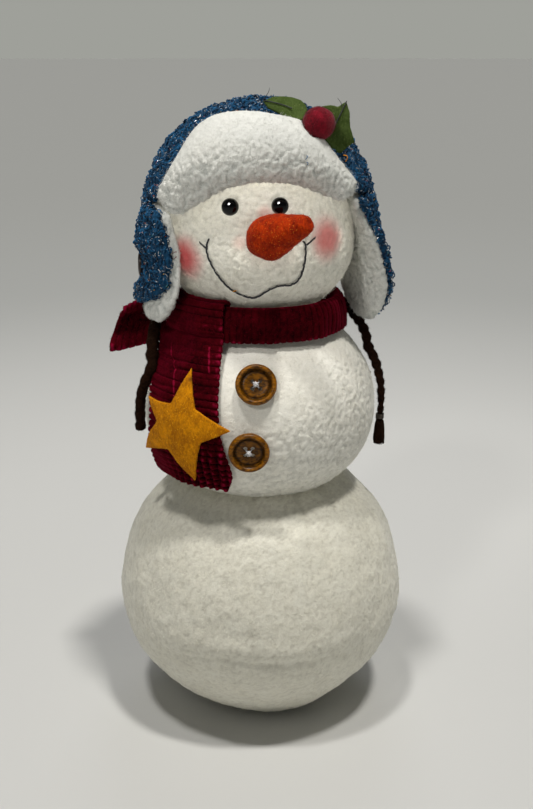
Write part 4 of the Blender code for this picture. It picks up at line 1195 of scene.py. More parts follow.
def cloth(name, middle, thick, raised, nap, material, around=False, flip=False):
    """Two nets with the cloth's thickness between them; raised lifts the outer one."""
    rows, cols = middle.shape[:2]
    down = np.gradient(middle, axis=0)
    if around:
        wide = np.concatenate([middle[:, -1:], middle, middle[:, :1]], axis=1)
        across = np.gradient(wide, axis=1)[:, 1:-1]
    else:
        across = np.gradient(middle, axis=1)
    out = np.cross(across, down)
    out /= np.linalg.norm(out, axis=2, keepdims=True)
    if flip:
        out = -out
    outer = middle + out * (thick / 2 + raised)[..., None]
    inner = middle - out * (thick / 2)
    points = np.concatenate([outer.reshape(-1, 3), inner.reshape(-1, 3)])
    index = np.arange(rows * cols).reshape(rows, cols)
    if around:
        index = np.concatenate([index, index[:, :1]], axis=1)
    quads = np.stack([index[:-1, :-1], index[1:, :-1], index[1:, 1:], index[:-1, 1:]], axis=2).reshape(-1, 4)
    under = rows * cols
    rims = [index[0], index[-1]] + ([] if around else [index[:, 0], index[:, -1]])
    walls = [np.stack([r[:-1], r[1:], r[1:] + under, r[:-1] + under], axis=1) for r in rims]
    faces = np.concatenate([quads, quads[:, ::-1] + under] + walls)
    numbers = {"nap": np.concatenate([nap.ravel(), nap.ravel() * 0.3 + 0.35]),
               "strand": np.full(2 * under, 0.5)}
    made = mesh_piece(name, points, faces, numbers, material)
    return close_up(made, 0.001 * MM)


def wale_shape(phase):
    """Height across one wale: a groove at whole numbers, and a full round ridge between."""
    share = phase - np.floor(phase)
    return np.sqrt(np.clip(1 - np.abs(2 * share - 1) ** 2.6, 0, 1))


def field(points, scale, seed=0.0):
    """Noise at every point of a net."""
    flat = points.reshape(-1, 3) / scale
    return np.array([noise.noise(Vector(p) + Vector((seed, 0, seed))) for p in flat]).reshape(points.shape[:-1])


# %% Front tail
TAIL_PATH = (
    (40.3, 240.6), (42.4, 243.0), (45.0, 243.4), (47.6, 241.2), (49.0, 235.2), (49.6, 228.0), (51.2, 221.0),
    (55.0, 214.0), (60.5, 205.0), (64.6, 195.0), (66.6, 185.0), (67.0, 175.0), (65.9, 165.0), (63.1, 156.0),
    (59.9, 148.0),
)
TAIL_LEFT = (-82, -82, -82, -82, -82, -82, -79, -73, -67, -61, -58.5, -59, -60.5, -64, -67)
TAIL_RIGHT = (-21, -21.5, -22, -22, -22, -21.5, -21, -20.5, -19.5, -18.5, -17.5, -16, -13.5, -12.6, -15.5)
PULLED_THREADS = (((196.7, 208.0, 217.8), (-42.1, -46.4, -58.6)), ((210.5, 220.0), (-25.1, -28.4)))
TAIL_CREASES = ((225.0, 1.5, 1.2, -100, 0), (211.5, 1.1, 0.9, -90, -45), (208.0, 1.1, 0.9, -47, -15),
                (199.0, 1.0, 0.9, -90, -48))


def around_middle(radius, azimuth, z):
    """Points round the middle ball's axis, azimuth in degrees, 0 in front, plus to the right."""
    turn = np.radians(azimuth)
    return np.stack([MID_CENTRE[0] + radius * np.sin(turn), MID_CENTRE[1] - radius * np.cos(turn),
                     z + 0 * turn], axis=-1)


share = np.linspace(0, 1, 3000)
path = smooth_run(TAIL_PATH, share) * MM
gone = np.concatenate([[0], np.cumsum(np.linalg.norm(np.diff(path, axis=0), axis=1))])
tail_length = gone[-1]
tail_wales = int(round(tail_length / WALE))
steps = tail_wales * 8 + 1
place = np.interp(np.linspace(0, tail_length, steps), gone, share)
phase = np.linspace(0, tail_wales, steps)[:, None]
path = smooth_run(TAIL_PATH, place) * MM
ridge = wale_shape(phase)
scallop = (ridge - 0.55) * 0.75
left = smooth_run(TAIL_LEFT, place)[:, None] - scallop
right = smooth_run(TAIL_RIGHT, place)[:, None] + scallop
v = np.linspace(0, 1, 112)[None, :]
azimuth = left + (right - left) * v
radius, z = path[:, :1] + 0 * v, path[:, 1:] + 0 * v
for height, depth, half, start, end in TAIL_CREASES:
    near = np.exp(-((z / MM - height - 0.05 * (azimuth + 50)) / half) ** 2)
    inside = 1 / (1 + np.exp(-(azimuth - start) / 2)) / (1 + np.exp((azimuth - end) / 2))
    radius = radius - depth * MM * near * inside
    radius = radius + 0.45 * MM * inside * np.exp(-((z / MM - height - 3.2) / 2.2) ** 2)
middle = around_middle(radius, azimuth, z)
broad = field(middle, 13 * MM)
middle = around_middle(radius + 0.8 * MM * broad, azimuth, z)
plush = 1 / (1 + np.exp((z / MM - 172) / 4)) / (1 + np.exp(-(azimuth + 42) / 4))
edge = np.minimum(v, 1 - v) / 0.05
edge = np.exp(-edge ** 2) + 0 * z
lump = field(middle, 2.3 * MM, 7.0)
fine = field(middle, 0.8 * MM, 3.0)
pressed = 0.55 + 0.9 * field(middle * np.array((0.35, 0.35, 1.0)), 5 * MM, 21.0)
crushed = field(middle, 1.5 * MM, 17.0)
column = 0.5 - 0.5 * np.cos(2 * math.pi * ((azimuth + 43) / 4.1 + 0.2 * lump))
rng = np.random.default_rng(88)
cut = rng.uniform(0, 1, tail_wales + 2) ** 1.6
groove = (1 - ridge) * np.interp(phase, np.arange(tail_wales + 2), cut) * (0.6 + 0.8 * pressed)
fullness = np.clip(0.1 + 0.25 * pressed, 0.05, 1) + 2.0 * plush * column + 0.35 * edge
raised = (ridge * fullness * (1 + 0.25 * lump) - 0.7 * groove * (1 - plush) + 0.1 * fine + 0.08 * crushed
          + 0.35 * broad - 0.7 * plush) * MM
# Painted light and shade: the grooves and the dips between the plush bumps are darker, and the ridges, the cut edges
# and the bump tops lighter.
nap = np.clip(0.46 + (ridge - 0.8) * (0.08 + 0.15 * pressed + 0.7 * plush) + 0.35 * (pressed - 0.55) - 0.5 * groove
              + plush * (0.9 * column * ridge - 0.6) + 0.25 * crushed + 0.2 * lump + 0.3 * edge * ridge, 0, 1)
# Each pulled thread is raised a little and given a painted highlight along it.
for heights, turns in PULLED_THREADS:
    off = azimuth - np.interp(z / MM, heights, turns)
    pulled = np.exp(-(off / 0.6) ** 2) * ((z / MM > heights[0] - 1) & (z / MM < heights[-1] + 1))
    raised = raised + 0.3 * MM * pulled
    nap = np.clip(nap + 0.7 * pulled, 0, 1)
tail = cloth("scarf_tail", middle, CLOTH - 0.2 * MM, raised, nap, corduroy, flip=True)
finish_piece(tail, "burgundy_corduroy", "scarf_front_tail")
tail_pile = lay_pile("scarf_tail_pile", tail, 6000, 1.1 * MM, 0.28 * MM, 0.3 * MM, 8000, 1.0 * MM, 91,
                     hair_width=0.12 * MM)

# %% Neck band
BAND_PATH = (
    (46.3, 223.6), (46.6, 227.0), (46.5, 231.0), (45.9, 235.0), (44.6, 238.4), (42.6, 240.3), (40.9, 239.2),
    (40.2, 236.0), (40.2, 232.0), (41.0, 228.0), (41.9, 224.6),
)
BAND_WALES = 80
columns = BAND_WALES * 8
rows = 42
turn = np.linspace(-180, 180, columns, endpoint=False)[None, :]
phase = np.linspace(0, BAND_WALES, columns, endpoint=False)[None, :]
ridge = wale_shape(phase)
path = smooth_run(BAND_PATH, np.linspace(0, 1, rows)) * MM
down = np.linspace(0, 1, rows)[:, None]
radius = path[:, :1] + 0 * turn
edges = np.exp(-down / 0.03) + np.exp(-(1 - down) / 0.03)
z = path[:, 1:] - (ridge - 0.5) * 0.5 * MM * edges
middle = around_middle(radius, turn + 0 * down, z)
wrinkle = field(middle * np.array((1, 1, 0.45)), 7 * MM, 5.0)
outside = np.clip((0.55 - down) / 0.25, 0, 1)
middle = around_middle(radius + 0.7 * MM * wrinkle * outside, turn + 0 * down, z)
lump = field(middle, 2.6 * MM, 11.0)
fine = field(middle, 0.8 * MM, 2.0)
pressed = 0.6 + 0.8 * field(middle * np.array((1.0, 1.0, 0.3)), 5 * MM, 31.0)
crushed = field(middle, 1.5 * MM, 27.0)
open_side = 0.3 + 0.7 / (1 + np.exp(-(np.abs(turn) - 28) / 9))
fullness = np.clip(0.22 + 0.36 * pressed, 0.12, 1) * open_side + 0.3 * np.exp(-down / 0.06) + 0.25 * wrinkle
raised = (ridge * fullness * (1 + 0.25 * lump) + 0.1 * fine + 0.08 * crushed) * MM * (0.35 + 0.65 * outside)
# Painted light and shade: the grooves are darker, the ridges along the folded edges are painted lighter, and so are
# the wrinkles that stand out.
rim = np.exp(-(down / 0.05) ** 2) + np.exp(-((down - 0.5) / 0.05) ** 2)
nap = np.clip(0.4 + (ridge - 0.75) * (0.2 + 0.45 * pressed) * open_side + 0.3 * crushed + 0.25 * lump
              + 0.35 * rim * ridge + 0.12 * wrinkle, 0, 1)
band = cloth("scarf_band", middle, 1.1 * MM, raised, nap, corduroy, around=True, flip=False)
finish_piece(band, "burgundy_corduroy", "scarf_neck_band")


def band_outside(points):
    """The outer side of the neck band, and its fold."""
    return np.where(np.linalg.norm(points[:, :2] - np.array(MID_CENTRE[:2]), axis=1) > 43.5 * MM, 1.0, 0.1)


band_pile = lay_pile("scarf_band_pile", band, 5500, 1.1 * MM, 0.28 * MM, 0.3 * MM, 8000, 1.0 * MM, 95,
                     band_outside, hair_width=0.12 * MM)

# %% Back tail
BACK_ROOT = ((-49.5, 16.0, 238.5), (-49.5, 17.5, 226.0), (-50.0, 16.0, 211.5))
BACK_END = ((-77.0, 15.0, 227.5), (-81.2, 13.5, 217.0), (-86.3, 12.5, 203.3))
BACK_WALES = 9
steps = BACK_WALES * 8 + 1
v = np.linspace(0, 1, 84)
u = np.linspace(0, 1, steps)[:, None, None]
root = smooth_run(BACK_ROOT, v)[None] * MM
end = smooth_run(BACK_END, v)[None] * MM
middle = root * (1 - u) + end * u
phase = np.linspace(0, BACK_WALES, steps)[:, None]
ridge = wale_shape(phase)
grow = (u[..., 0] * 0.85 + 0.15)
middle[..., 1] += (5.5 * np.sin(v * math.pi)[None] ** 2 - 1.5 * np.sin(v * 5 * math.pi)[None]) * grow * MM
middle[..., 2] += (ridge - 0.5) * 0.7 * MM * (np.exp(-v / 0.04) - np.exp(-(1 - v) / 0.04))[None]
wrinkle = field(middle, 8 * MM, 9.0)
middle[..., 1] += 0.8 * MM * wrinkle * grow
corner = np.exp(-((1 - u[..., 0]) / 0.16) ** 2) * (np.exp(-(v / 0.16) ** 2) + np.exp(-((1 - v) / 0.16) ** 2))[None]
middle = middle + (root[:, 42:43] - middle) * 0.05 * corner[..., None]
lump = field(middle, 2.4 * MM, 4.0)
fine = field(middle, 0.8 * MM, 6.0)
edge = (np.exp(-v / 0.06) + np.exp(-(1 - v) / 0.06))[None] + np.exp(-(1 - u[..., 0]) / 0.05)
raised = (ridge * (0.5 + 0.3 * edge) * (1 + 0.4 * lump) + 0.12 * fine) * MM
# Painted shade darkens the middle of the end, where it folds in, and a painted highlight lights the ridges along its
# edges.
nap = np.clip(0.3 + 0.35 * ridge + 0.25 * lump - 0.4 * np.sin(math.pi * v)[None] ** 2 + 0.4 * edge * ridge, 0, 1)
back_tail = cloth("scarf_back_end", middle, CLOTH - 0.2 * MM, raised, nap, corduroy, flip=True)
finish_piece(back_tail, "burgundy_corduroy", "scarf_back_tail")
back_pile = lay_pile("scarf_back_end_pile", back_tail, 2200, 1.1 * MM, 0.28 * MM, 0.3 * MM, 4000, 1.0 * MM, 99,
                     hair_width=0.12 * MM)

# %% [markdown]
# ## Star
# The star is cut with scissors from pressed wool felt and glued to the tail. Its edge stays sharp in
# outline but shows the soft thickness of the felt. A brown mark sits near its top point, and its tips
# curl a little away from where the scissors left them.

# %% Star
mustard_felt = felt("pressed_felt_mustard", "#DA8E00", "#A46200", "#FFC430", grain_mm=1.0, bump=1.3, sheen=0.02)
tree = mustard_felt.node_tree
shader = tree.nodes["Principled BSDF"]
source = shader.inputs["Base Color"].links[0].from_socket
where = add(tree, "TexCoord")
MARK = (-35.1 * MM, -53.0 * MM, 207.0 * MM)
apart = vectors(tree, "DISTANCE", {1: MARK}, {0: where.outputs["Object"]})
mark = add(tree, "MapRange", {"From Min": 2.0 * MM, "From Max": 0.8 * MM, "To Max": 0.85},
           {"Value": apart.outputs["Value"]})
stained = mix(tree, {7: from_hex("#6B4310")}, {0: mark.outputs["Result"], 6: source})
tree.links.new(stained.outputs[2], shader.inputs["Base Color"])
star = soft_copy("star_felt", "star", 0.5 * MM, 3)
STAR_TIPS = (((-27.0, 213.5), (-1.8, -2.6)), ((-50.5, 197.0), (-0.3, -2.2)), ((-53.0, 169.0), (-0.3, 1.4)),
             ((-27.5, 154.5), (0.7, 0.6)))
for vert in star.data.vertices:
    for (x, z), (right, up) in STAR_TIPS:
        near = math.exp(-(math.hypot(vert.co.x / MM - x, vert.co.z / MM - z) / 9) ** 2)
        vert.co += Vector((right, 0.0, up)) * MM * near
raise_tufts(star, 1.4 * MM, 0.12 * MM, 9 * MM, 0.15 * MM)
star.data.materials.append(mustard_felt)
finish_piece(star, "mustard_felt", "star")
star_hairs = lay_pile("star_stray_hairs", star, 2600, 1.3 * MM, 0.16 * MM, 0.12 * MM, 2600, 0.7 * MM, 103,
                      hair_width=0.1 * MM)

# %% [markdown]
# ## Holly
# Two leaves of green felt and a needle-felted berry are stitched to the brim. A line of dark thread runs
# up each leaf as its vein, and its cut ends stand up over the leaf's tip.

# %% Holly
green_felt = felt("pressed_felt_green", "#50622F", "#394A1C", "#74834A", grain_mm=0.8, sheen=0.1)
berry_felt = felt("needle_felt_berry_red", "#7E0A1F", "#4F0210", "#A82840", grain_mm=0.8, sheen=0.15)
for side, flat, area in (("left", (0.0229, 0.0117), 0.000195), ("right", (0.0237, 0.0225), 0.000284)):
    leaf = soft_copy(side + "_leaf_felt", side + "_leaf", 0.36 * MM, 3)
    raise_tufts(leaf, 1.2 * MM, 0.1 * MM, 7 * MM, 0.25 * MM)
    leaf.data.materials.append(green_felt)
    finish_piece(leaf, "green_felt", side + "_leaf")
    hairs = lay_pile(side + "_leaf_stray_hairs", leaf, 300, 1.0 * MM, 0.1 * MM, 0.1 * MM, 1100, 0.6 * MM, 107,
                     hair_width=0.07 * MM)
    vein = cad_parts[side + "_leaf_vein"]
    corners = np.array([v.co for v in vein.data.vertices])
    centre = corners.mean(axis=0)
    long = np.linalg.svd(corners - centre)[2][0]
    along = (corners - centre) @ long
    ends = [corners[along < along.min() + 0.5 * MM].mean(axis=0),
            corners[along > along.max() - 0.5 * MM].mean(axis=0)]
    heart = corners[np.abs(along) < 2.5 * MM].mean(axis=0)
    line = even_line([ends[0], (ends[0] + heart) / 2 + (heart - centre) * 0.7, heart,
                      (ends[1] + heart) / 2 + (heart - centre) * 0.7, ends[1]], 0.25 * MM)
    sewn = mesh_piece(side + "_leaf_vein_thread", *rod_arrays(line, np.full(len(line), 0.26 * MM), 8, 0.3, 500),
                      material=dark_thread)
    close_up(sewn)
    finish_piece(sewn, "dark_thread", side + "_leaf_vein")

THREAD_ENDS = (
    ("left_leaf_thread_end", ((1.5, -29.0, 340.6), (2.6, -30.2, 342.6), (4.4, -30.6, 345.2), (5.0, -30.0, 347.4))),
    ("right_leaf_thread_end", ((40.0, -31.5, 338.2), (39.6, -33.0, 340.4), (37.9, -33.4, 342.6))),
)
for name, points in THREAD_ENDS:
    line = even_line([np.array(p) * MM for p in points], 0.3 * MM)
    loose = mesh_piece(name, *rod_arrays(line, np.linspace(0.2, 0.1, len(line)) * MM, 6), material=dark_thread)
    close_up(loose)
    finish_piece(loose, "dark_thread")

bpy.ops.object.select_all(action="DESELECT")
bpy.ops.mesh.primitive_ico_sphere_add(subdivisions=5, radius=7.9 * MM, location=(28.6 * MM, -40.5 * MM, 331.2 * MM))
berry = bpy.context.object
berry.name = "berry_felt"
bake_place(berry)
raise_tufts(berry, 1.5 * MM, 0.18 * MM, 6 * MM, 0.35 * MM)
berry.data.shade_smooth()
berry.data.materials.append(berry_felt)
finish_piece(berry, "red_felt", "berry")
berry_hairs = lay_pile("berry_stray_hairs", berry, 1200, 1.4 * MM, 0.12 * MM, 0.14 * MM, 2400, 0.8 * MM, 113,
                       hair_width=0.07 * MM)

# %% [markdown]
# ## Buttons
# A wooden button is turned on a lathe: a rolled rim, a ring groove inside it and a shallow dish, then
# four holes are drilled. So half of its section is drawn and a screw modifier turns it round, four
# cylinders are cut out of it, and a narrow bevel softens their edges. The wood is coloured darker in the
# groove and round the holes, and lighter on the rim. White thread crosses from hole to hole, with a knot in the
# middle.

# %% Turned button


def turned_button(name, centre, outward, profile, holes, hole_radius, hole_spread, material):
    """Turn a half section, drill its holes, and set it on the skin facing outward."""
    mesh = bpy.data.meshes.new(name)
    line = smooth_run(profile, np.linspace(0, 1, len(profile) * 5))
    line[0, 0] = line[-1, 0] = 0.0
    mesh.from_pydata([(r * MM, 0.0, z * MM) for r, z in line], [(i, i + 1) for i in range(len(line) - 1)], [])
    made = bpy.data.objects.new(name, mesh)
    scene.collection.objects.link(made)
    spun = made.modifiers.new("turn", "SCREW")
    spun.steps = 64
    spun.render_steps = 64
    spun.use_merge_vertices = True
    spun.merge_threshold = 0.001 * MM
    settle(made)
    close_up(made)
    for k in range(holes):
        angle = 2 * math.pi * (k + 0.5) / holes
        bpy.ops.object.select_all(action="DESELECT")
        bpy.ops.mesh.primitive_cylinder_add(
            vertices=24, radius=hole_radius, depth=20 * MM,
            location=(hole_spread * math.cos(angle), hole_spread * math.sin(angle), 0.0),
        )
        drill = bpy.context.object
        hole = made.modifiers.new("hole", "BOOLEAN")
        hole.operation = "DIFFERENCE"
        hole.solver = "EXACT"
        hole.object = drill
        settle(made)
        bpy.data.objects.remove(drill)
    soft = made.modifiers.new("softened edges", "BEVEL")
    soft.width = 0.12 * MM
    soft.segments = 2
    soft.limit_method = "ANGLE"
    soft.angle_limit = math.radians(50)
    settle(made)
    made.rotation_euler = outward.to_track_quat("Z", "Y").to_euler()
    made.location = centre
    bake_place(made)
    pick(made)
    bpy.ops.object.shade_smooth_by_angle(angle=math.radians(40))
    made.data.materials.append(material)
    return made


# %% Stained wood


def stained_wood(name, centre, turn):
    """Oiled wood with a straight grain, coloured darker or lighter in rings round the button's centre."""
    made, tree, shader = new_material(name)
    where = add(tree, "TexCoord")
    own = add(tree, "Mapping", {"Location": centre, "Rotation": turn}, {"Vector": where.outputs["Object"]},
              vector_type="TEXTURE")
    split = add(tree, "SeparateXYZ", feeds={0: own.outputs["Vector"]})
    flat = add(tree, "CombineXYZ", feeds={0: split.outputs[0], 1: split.outputs[1]})
    from_axis = vectors(tree, "LENGTH", feeds={0: flat.outputs[0]})
    stretch = add(tree, "Mapping", {"Scale": (0.4, 1.0, 1.0)}, {"Vector": own.outputs["Vector"]})
    grain = add(tree, "TexNoise", {"Scale": 900.0, "Detail": 6.0, "Distortion": 0.6},
                {"Vector": stretch.outputs["Vector"]})
    worn = soft_noise(tree, 420.0, 3.0, where.outputs["Object"])
    wood = add(tree, "ValToRGB", feeds={"Fac": grain.outputs["Fac"]})
    wood.color_ramp.elements[0].position = 0.36
    wood.color_ramp.elements[0].color = from_hex("#482A03")
    wood.color_ramp.elements[1].position = 0.66
    wood.color_ramp.elements[1].color = from_hex("#9C6206")
    ring = add(tree, "ValToRGB", feeds={"Fac": from_axis.outputs["Value"]})
    wander = maths(tree, "MULTIPLY_ADD", {1: 1.2 * MM, 2: -0.6 * MM}, {0: worn.outputs["Fac"]})
    moved = maths(tree, "ADD", feeds={0: from_axis.outputs["Value"], 1: wander.outputs[0]})
    span = maths(tree, "MULTIPLY", {1: 1 / (11 * MM)}, {0: moved.outputs[0]})
    tree.links.new(span.outputs[0], ring.inputs["Fac"])
    stops = ((0.0, 0.55), (0.30, 0.5), (0.52, 0.8), (0.60, 0.3), (0.70, 0.34), (0.78, 0.95), (0.90, 1.0), (1.0, 0.6))
    for index, (at, level) in enumerate(stops):
        stop = ring.color_ramp.elements[index] if index < 2 else ring.color_ramp.elements.new(at)
        stop.position = at
        stop.color = (level, level, level, 1.0)
    body = mix(tree, {0: 1.0}, {6: wood.outputs["Color"], 7: ring.outputs["Color"]}, blend_type="MULTIPLY")
    tree.links.new(body.outputs[2], shader.inputs["Base Color"])
    bump = add(tree, "Bump", {"Strength": 0.35, "Distance": 0.12 * MM}, {"Height": grain.outputs["Fac"]})
    tree.links.new(bump.outputs["Normal"], shader.inputs["Normal"])
    gloss = add(tree, "MapRange", {"To Min": 0.28, "To Max": 0.5}, {"Value": worn.outputs["Fac"]})
    tree.links.new(gloss.outputs["Result"], shader.inputs["Roughness"])
    shader.inputs["Specular IOR Level"].default_value = 0.15
    shader.inputs["Coat Weight"].default_value = 0.1
    shader.inputs["Coat Roughness"].default_value = 0.25
    return made


# %% Front buttons
BUTTON_PROFILE = (
    (0.0, 1.5), (2.2, 1.5), (4.4, 1.6), (5.8, 1.75), (6.6, 1.65), (7.0, 1.45), (7.3, 1.9), (7.8, 3.0), (8.5, 3.8),
    (9.2, 3.9), (9.9, 3.5), (10.4, 2.6), (10.4, 1.6), (10.0, 0.6), (9.2, 0.1), (7.0, 0.0), (3.5, 0.0), (0.0, 0.0),
)
white_thread = thread("twisted_cotton_thread_white", "#A9A9AC", "#E9E9EA", 0.55, 0.4)
for name, centre, tilt in (("upper", (-1.7, -58.7, 205.2), 24), ("lower", (-5.3, -65.5, 172.5), -2)):
    lean = math.radians(tilt)
    outward = Vector((0.0, -math.cos(lean), math.sin(lean)))
    middle_of = Vector(centre) * MM
    turn = outward.to_track_quat("Z", "Y")
    oiled = stained_wood("stained_wood_" + name, middle_of, turn.to_euler())
    button = turned_button(name + "_wooden_button", middle_of, outward, BUTTON_PROFILE, 4, 1.1 * MM, 2.6 * MM, oiled)
    finish_piece(button, "stained_wood", name + "_button")
    across, upward = turn @ Vector((1, 0, 0)), turn @ Vector((0, 1, 0))
    rng = np.random.default_rng(len(name) + tilt + 40)
    lot = []
    for k in range(8):
        angle = 2 * math.pi * ((k % 4) + 0.5) / 4
        far = across * math.cos(angle) + upward * math.sin(angle)
        slip = across * rng.normal(0, 0.25) + upward * rng.normal(0, 0.25)
        rise = rng.uniform(2.0, 2.4)
        points = [middle_of + (far * 2.2) * MM - outward * 0.6 * MM, middle_of + (far * 1.95 + outward * 1.5) * MM,
                  middle_of + (far * 1.3 + slip + outward * rise) * MM,
                  middle_of + (slip + outward * (rise + 0.25)) * MM,
                  middle_of + (-far * 0.5 + slip + outward * rise) * MM]
        line = even_line(points, 0.2 * MM)
        lot.append(rod_arrays(line, np.full(len(line), rng.uniform(0.2, 0.27) * MM), 8, 0.3, 600))
    for k in range(44):
        angle = 2 * math.pi * k / 7 + rng.uniform(0, 1)
        far = across * math.cos(angle) + upward * math.sin(angle)
        points = [middle_of + (-far * 0.7 + outward * 2.3) * MM,
                  middle_of + (far * rng.uniform(0, 0.5) + outward * rng.uniform(3.2, 4.3)) * MM,
                  middle_of + (far * rng.uniform(0.9, 1.6) + outward * rng.uniform(2.2, 3.6)) * MM]
        line = even_line(points, 0.2 * MM)
        lot.append(rod_arrays(line, np.linspace(0.36, 0.2, len(line)) * MM, 8, 0.3, 600))
    cross = mesh_piece(name + "_button_stitch", *join_arrays(lot), material=white_thread)
    close_up(cross, 0.002 * MM)
    finish_piece(cross, "white_thread", name + "_button_thread")

# %% Flap buttons
dark_button, tree, shader = new_material("dark_horn_button")
where = add(tree, "TexCoord")
vein = add(tree, "TexNoise", {"Scale": 380.0, "Detail": 4.0, "Distortion": 1.2},
           {"Vector": where.outputs["Object"]})
tone = mix(tree, {6: from_hex("#0F0A08"), 7: from_hex("#33211A")}, {0: vein.outputs["Fac"]})
tree.links.new(tone.outputs[2], shader.inputs["Base Color"])
shader.inputs["Roughness"].default_value = 0.3
shader.inputs["Coat Weight"].default_value = 0.3
FLAP_PROFILE = ((0.0, 1.5), (2.2, 1.5), (3.8, 1.65), (4.6, 2.2), (5.3, 2.6), (6.0, 2.35), (6.4, 1.5), (6.2, 0.5),
                (5.6, 0.1), (3.0, 0.0), (0.0, 0.0))
for side, centre, outward in (("left", (-62.2, -2.0, 255.7), (-1.0, -0.04, 0.0)),
                              ("right", (64.0, 10.0, 250.0), (0.86, 0.51, 0.0))):
    button = turned_button(side + "_horn_button", Vector(centre) * MM, Vector(outward), FLAP_PROFILE, 2,
                           0.7 * MM, 1.6 * MM, dark_button)
    finish_piece(button, "dark_button", side + "_flap_button")

# %% [markdown]
# ## Arms
# An arm is a bent wire in a sleeve. The left one is covered in brown chenille, which is bound to the
# wire in rings. The right one is a strip of brown cloth twisted round its wire, and it ends in a small
# brush of bristles that is bound with fine wire. Both are drawn as rods whose radius changes along
# them, and short hairs give them their dull edge.

# %% Arms
chenille, tree, shader = new_material("chenille_dark_brown")
where = add(tree, "TexCoord")
nap = add(tree, "Attribute", attribute_name="nap")
strand = add(tree, "Attribute", attribute_name="strand")
fuzz = soft_noise(tree, 1500.0, 3.0, where.outputs["Object"])
# Painted shade: the gaps between the tufts are darker.
low = maths(tree, "MULTIPLY_ADD", {1: 0.6}, {0: nap.outputs["Fac"]})
half_fuzz = maths(tree, "MULTIPLY", {1: 0.5}, {0: fuzz.outputs["Fac"]})
tree.links.new(half_fuzz.outputs[0], low.inputs[2])
tone = mix(tree, {6: from_hex("#090402"), 7: from_hex("#2A170D")}, {0: low.outputs[0]})
own = maths(tree, "MULTIPLY_ADD", {1: 0.6, 2: 0.7}, {0: strand.outputs["Fac"]})
tinted = vectors(tree, "SCALE", feeds={0: tone.outputs[2], "Scale": own.outputs[0]})
tree.links.new(tinted.outputs["Vector"], shader.inputs["Base Color"])
bump = add(tree, "Bump", {"Strength": 0.6, "Distance": 0.2 * MM}, {"Height": fuzz.outputs["Fac"]})
tree.links.new(bump.outputs["Normal"], shader.inputs["Normal"])
shader.inputs["Roughness"].default_value = 0.85
shader.inputs["Sheen Weight"].default_value = 0.03
shader.inputs["Sheen Tint"].default_value = from_hex("#8A6A50")
shader.inputs["Specular IOR Level"].default_value = 0.05

LEFT_ARM = (
    (-51.0, 6.0, 232.5), (-55.5, -2.0, 226.5), (-56.8, -13.0, 220.0), (-57.0, -22.5, 213.0), (-56.8, -27.4, 206.5),
    (-59.4, -28.2, 200.0), (-63.0, -27.0, 190.5), (-64.0, -26.0, 181.0), (-64.4, -24.3, 170.0),
)
LEFT_RADII = (2.9, 3.2, 3.3, 3.3, 3.2, 2.9, 2.8, 2.8, 2.7)
RIGHT_ARM = (
    (46.0, 18.5, 232.0), (49.0, 15.0, 228.0), (54.5, 11.0, 222.5), (58.3, 8.0, 215.0), (60.2, 6.0, 207.5),
    (64.2, 4.0, 199.5), (67.0, 3.0, 188.5), (67.6, 2.0, 177.5), (67.2, 2.0, 170.5),
)
RIGHT_RADII = (2.5, 2.5, 2.5, 2.4, 2.4, 2.3, 2.0, 1.75, 1.65)


def arm(name, points, radii, node, ring_depth, ring_gap, groove, twists, seed):
    """A bound or twisted sleeve on a bent wire, with its fuzz."""
    line = even_line(np.array(points) * MM, 0.35 * MM)
    size = smooth_run(radii, np.linspace(0, 1, len(line))) * MM
    gone = np.arange(len(line)) * 0.35 * MM
    rings = np.abs(np.cos(math.pi * gone / ring_gap)) ** 6
    size = size * (1 - ring_depth * rings)
    size[0] *= 0.8
    size[-1] *= 0.75
    made = mesh_piece(name, *rod_arrays(line, size, 20, groove, twists), material=chenille)
    close_up(made)
    even_skin(made, 0.5 * MM, 2)
    raise_tufts(made, 1.3 * MM, 0.3 * MM, 6 * MM, 0.3 * MM)
    finish_piece(made, "brown_chenille", node)
    hairs = lay_pile(name + "_fuzz", made, 2500, 1.1 * MM, 0.26 * MM, 0.25 * MM, 4000, 1.0 * MM, seed,
                     hair_width=0.1 * MM)
    return made


arm("left_arm_sleeve", LEFT_ARM, LEFT_RADII, "left_arm", 0.16, 7.0 * MM, 0.12, 60, 121)
arm("right_arm_sleeve", RIGHT_ARM, RIGHT_RADII, "right_arm", 0.06, 9.0 * MM, 0.42, 95, 125)

hand_down = Vector((-0.008, 0.0, -1.0)).normalized()
hand_start = Vector(RIGHT_ARM[-1]) * MM + hand_down * 3.6 * MM
shares = np.linspace(0, 1, 24)
line = [hand_start + hand_down * (14.0 * MM * s) for s in shares]
size = smooth_run((2.1, 2.7, 3.1, 3.3, 3.1), shares) * MM
hand = mesh_piece("right_hand_core", *rod_arrays(line, size * 0.88, 20), material=chenille)
close_up(hand)
even_skin(hand, 0.45 * MM, 3)
raise_tufts(hand, 1.2 * MM, 0.5 * MM, 5 * MM, 0.5 * MM)
finish_piece(hand, "brown_chenille", "right_hand")
rng = np.random.default_rng(131)
lot = []
for k in range(230):
    angle = rng.uniform(0, 2 * math.pi)
    far = math.sqrt(rng.uniform(0.45, 1.0))
    side = Vector((math.cos(angle), math.sin(angle), 0))
    reach = rng.uniform(0.8, 1.04)
    start = rng.uniform(0.0, 0.25)
    points = []
    for s in np.linspace(start, reach, 5):
        wide = float(np.interp(s, (0, 0.3, 0.7, 1.0), (2.0, 2.6, 3.1, 3.1))) * far
        points.append(hand_start + hand_down * (14.2 * MM * s) + side * (wide + rng.normal(0, 0.12)) * MM)
    line = even_line(points, 1.6 * MM)
    lot.append(rod_arrays(line, np.full(len(line), rng.uniform(0.16, 0.26) * MM), 5))
bristles = mesh_piece("right_hand_bristles", *join_arrays(lot), material=chenille)
keep_number(bristles, "nap", np.full(len(bristles.data.vertices), 0.6))
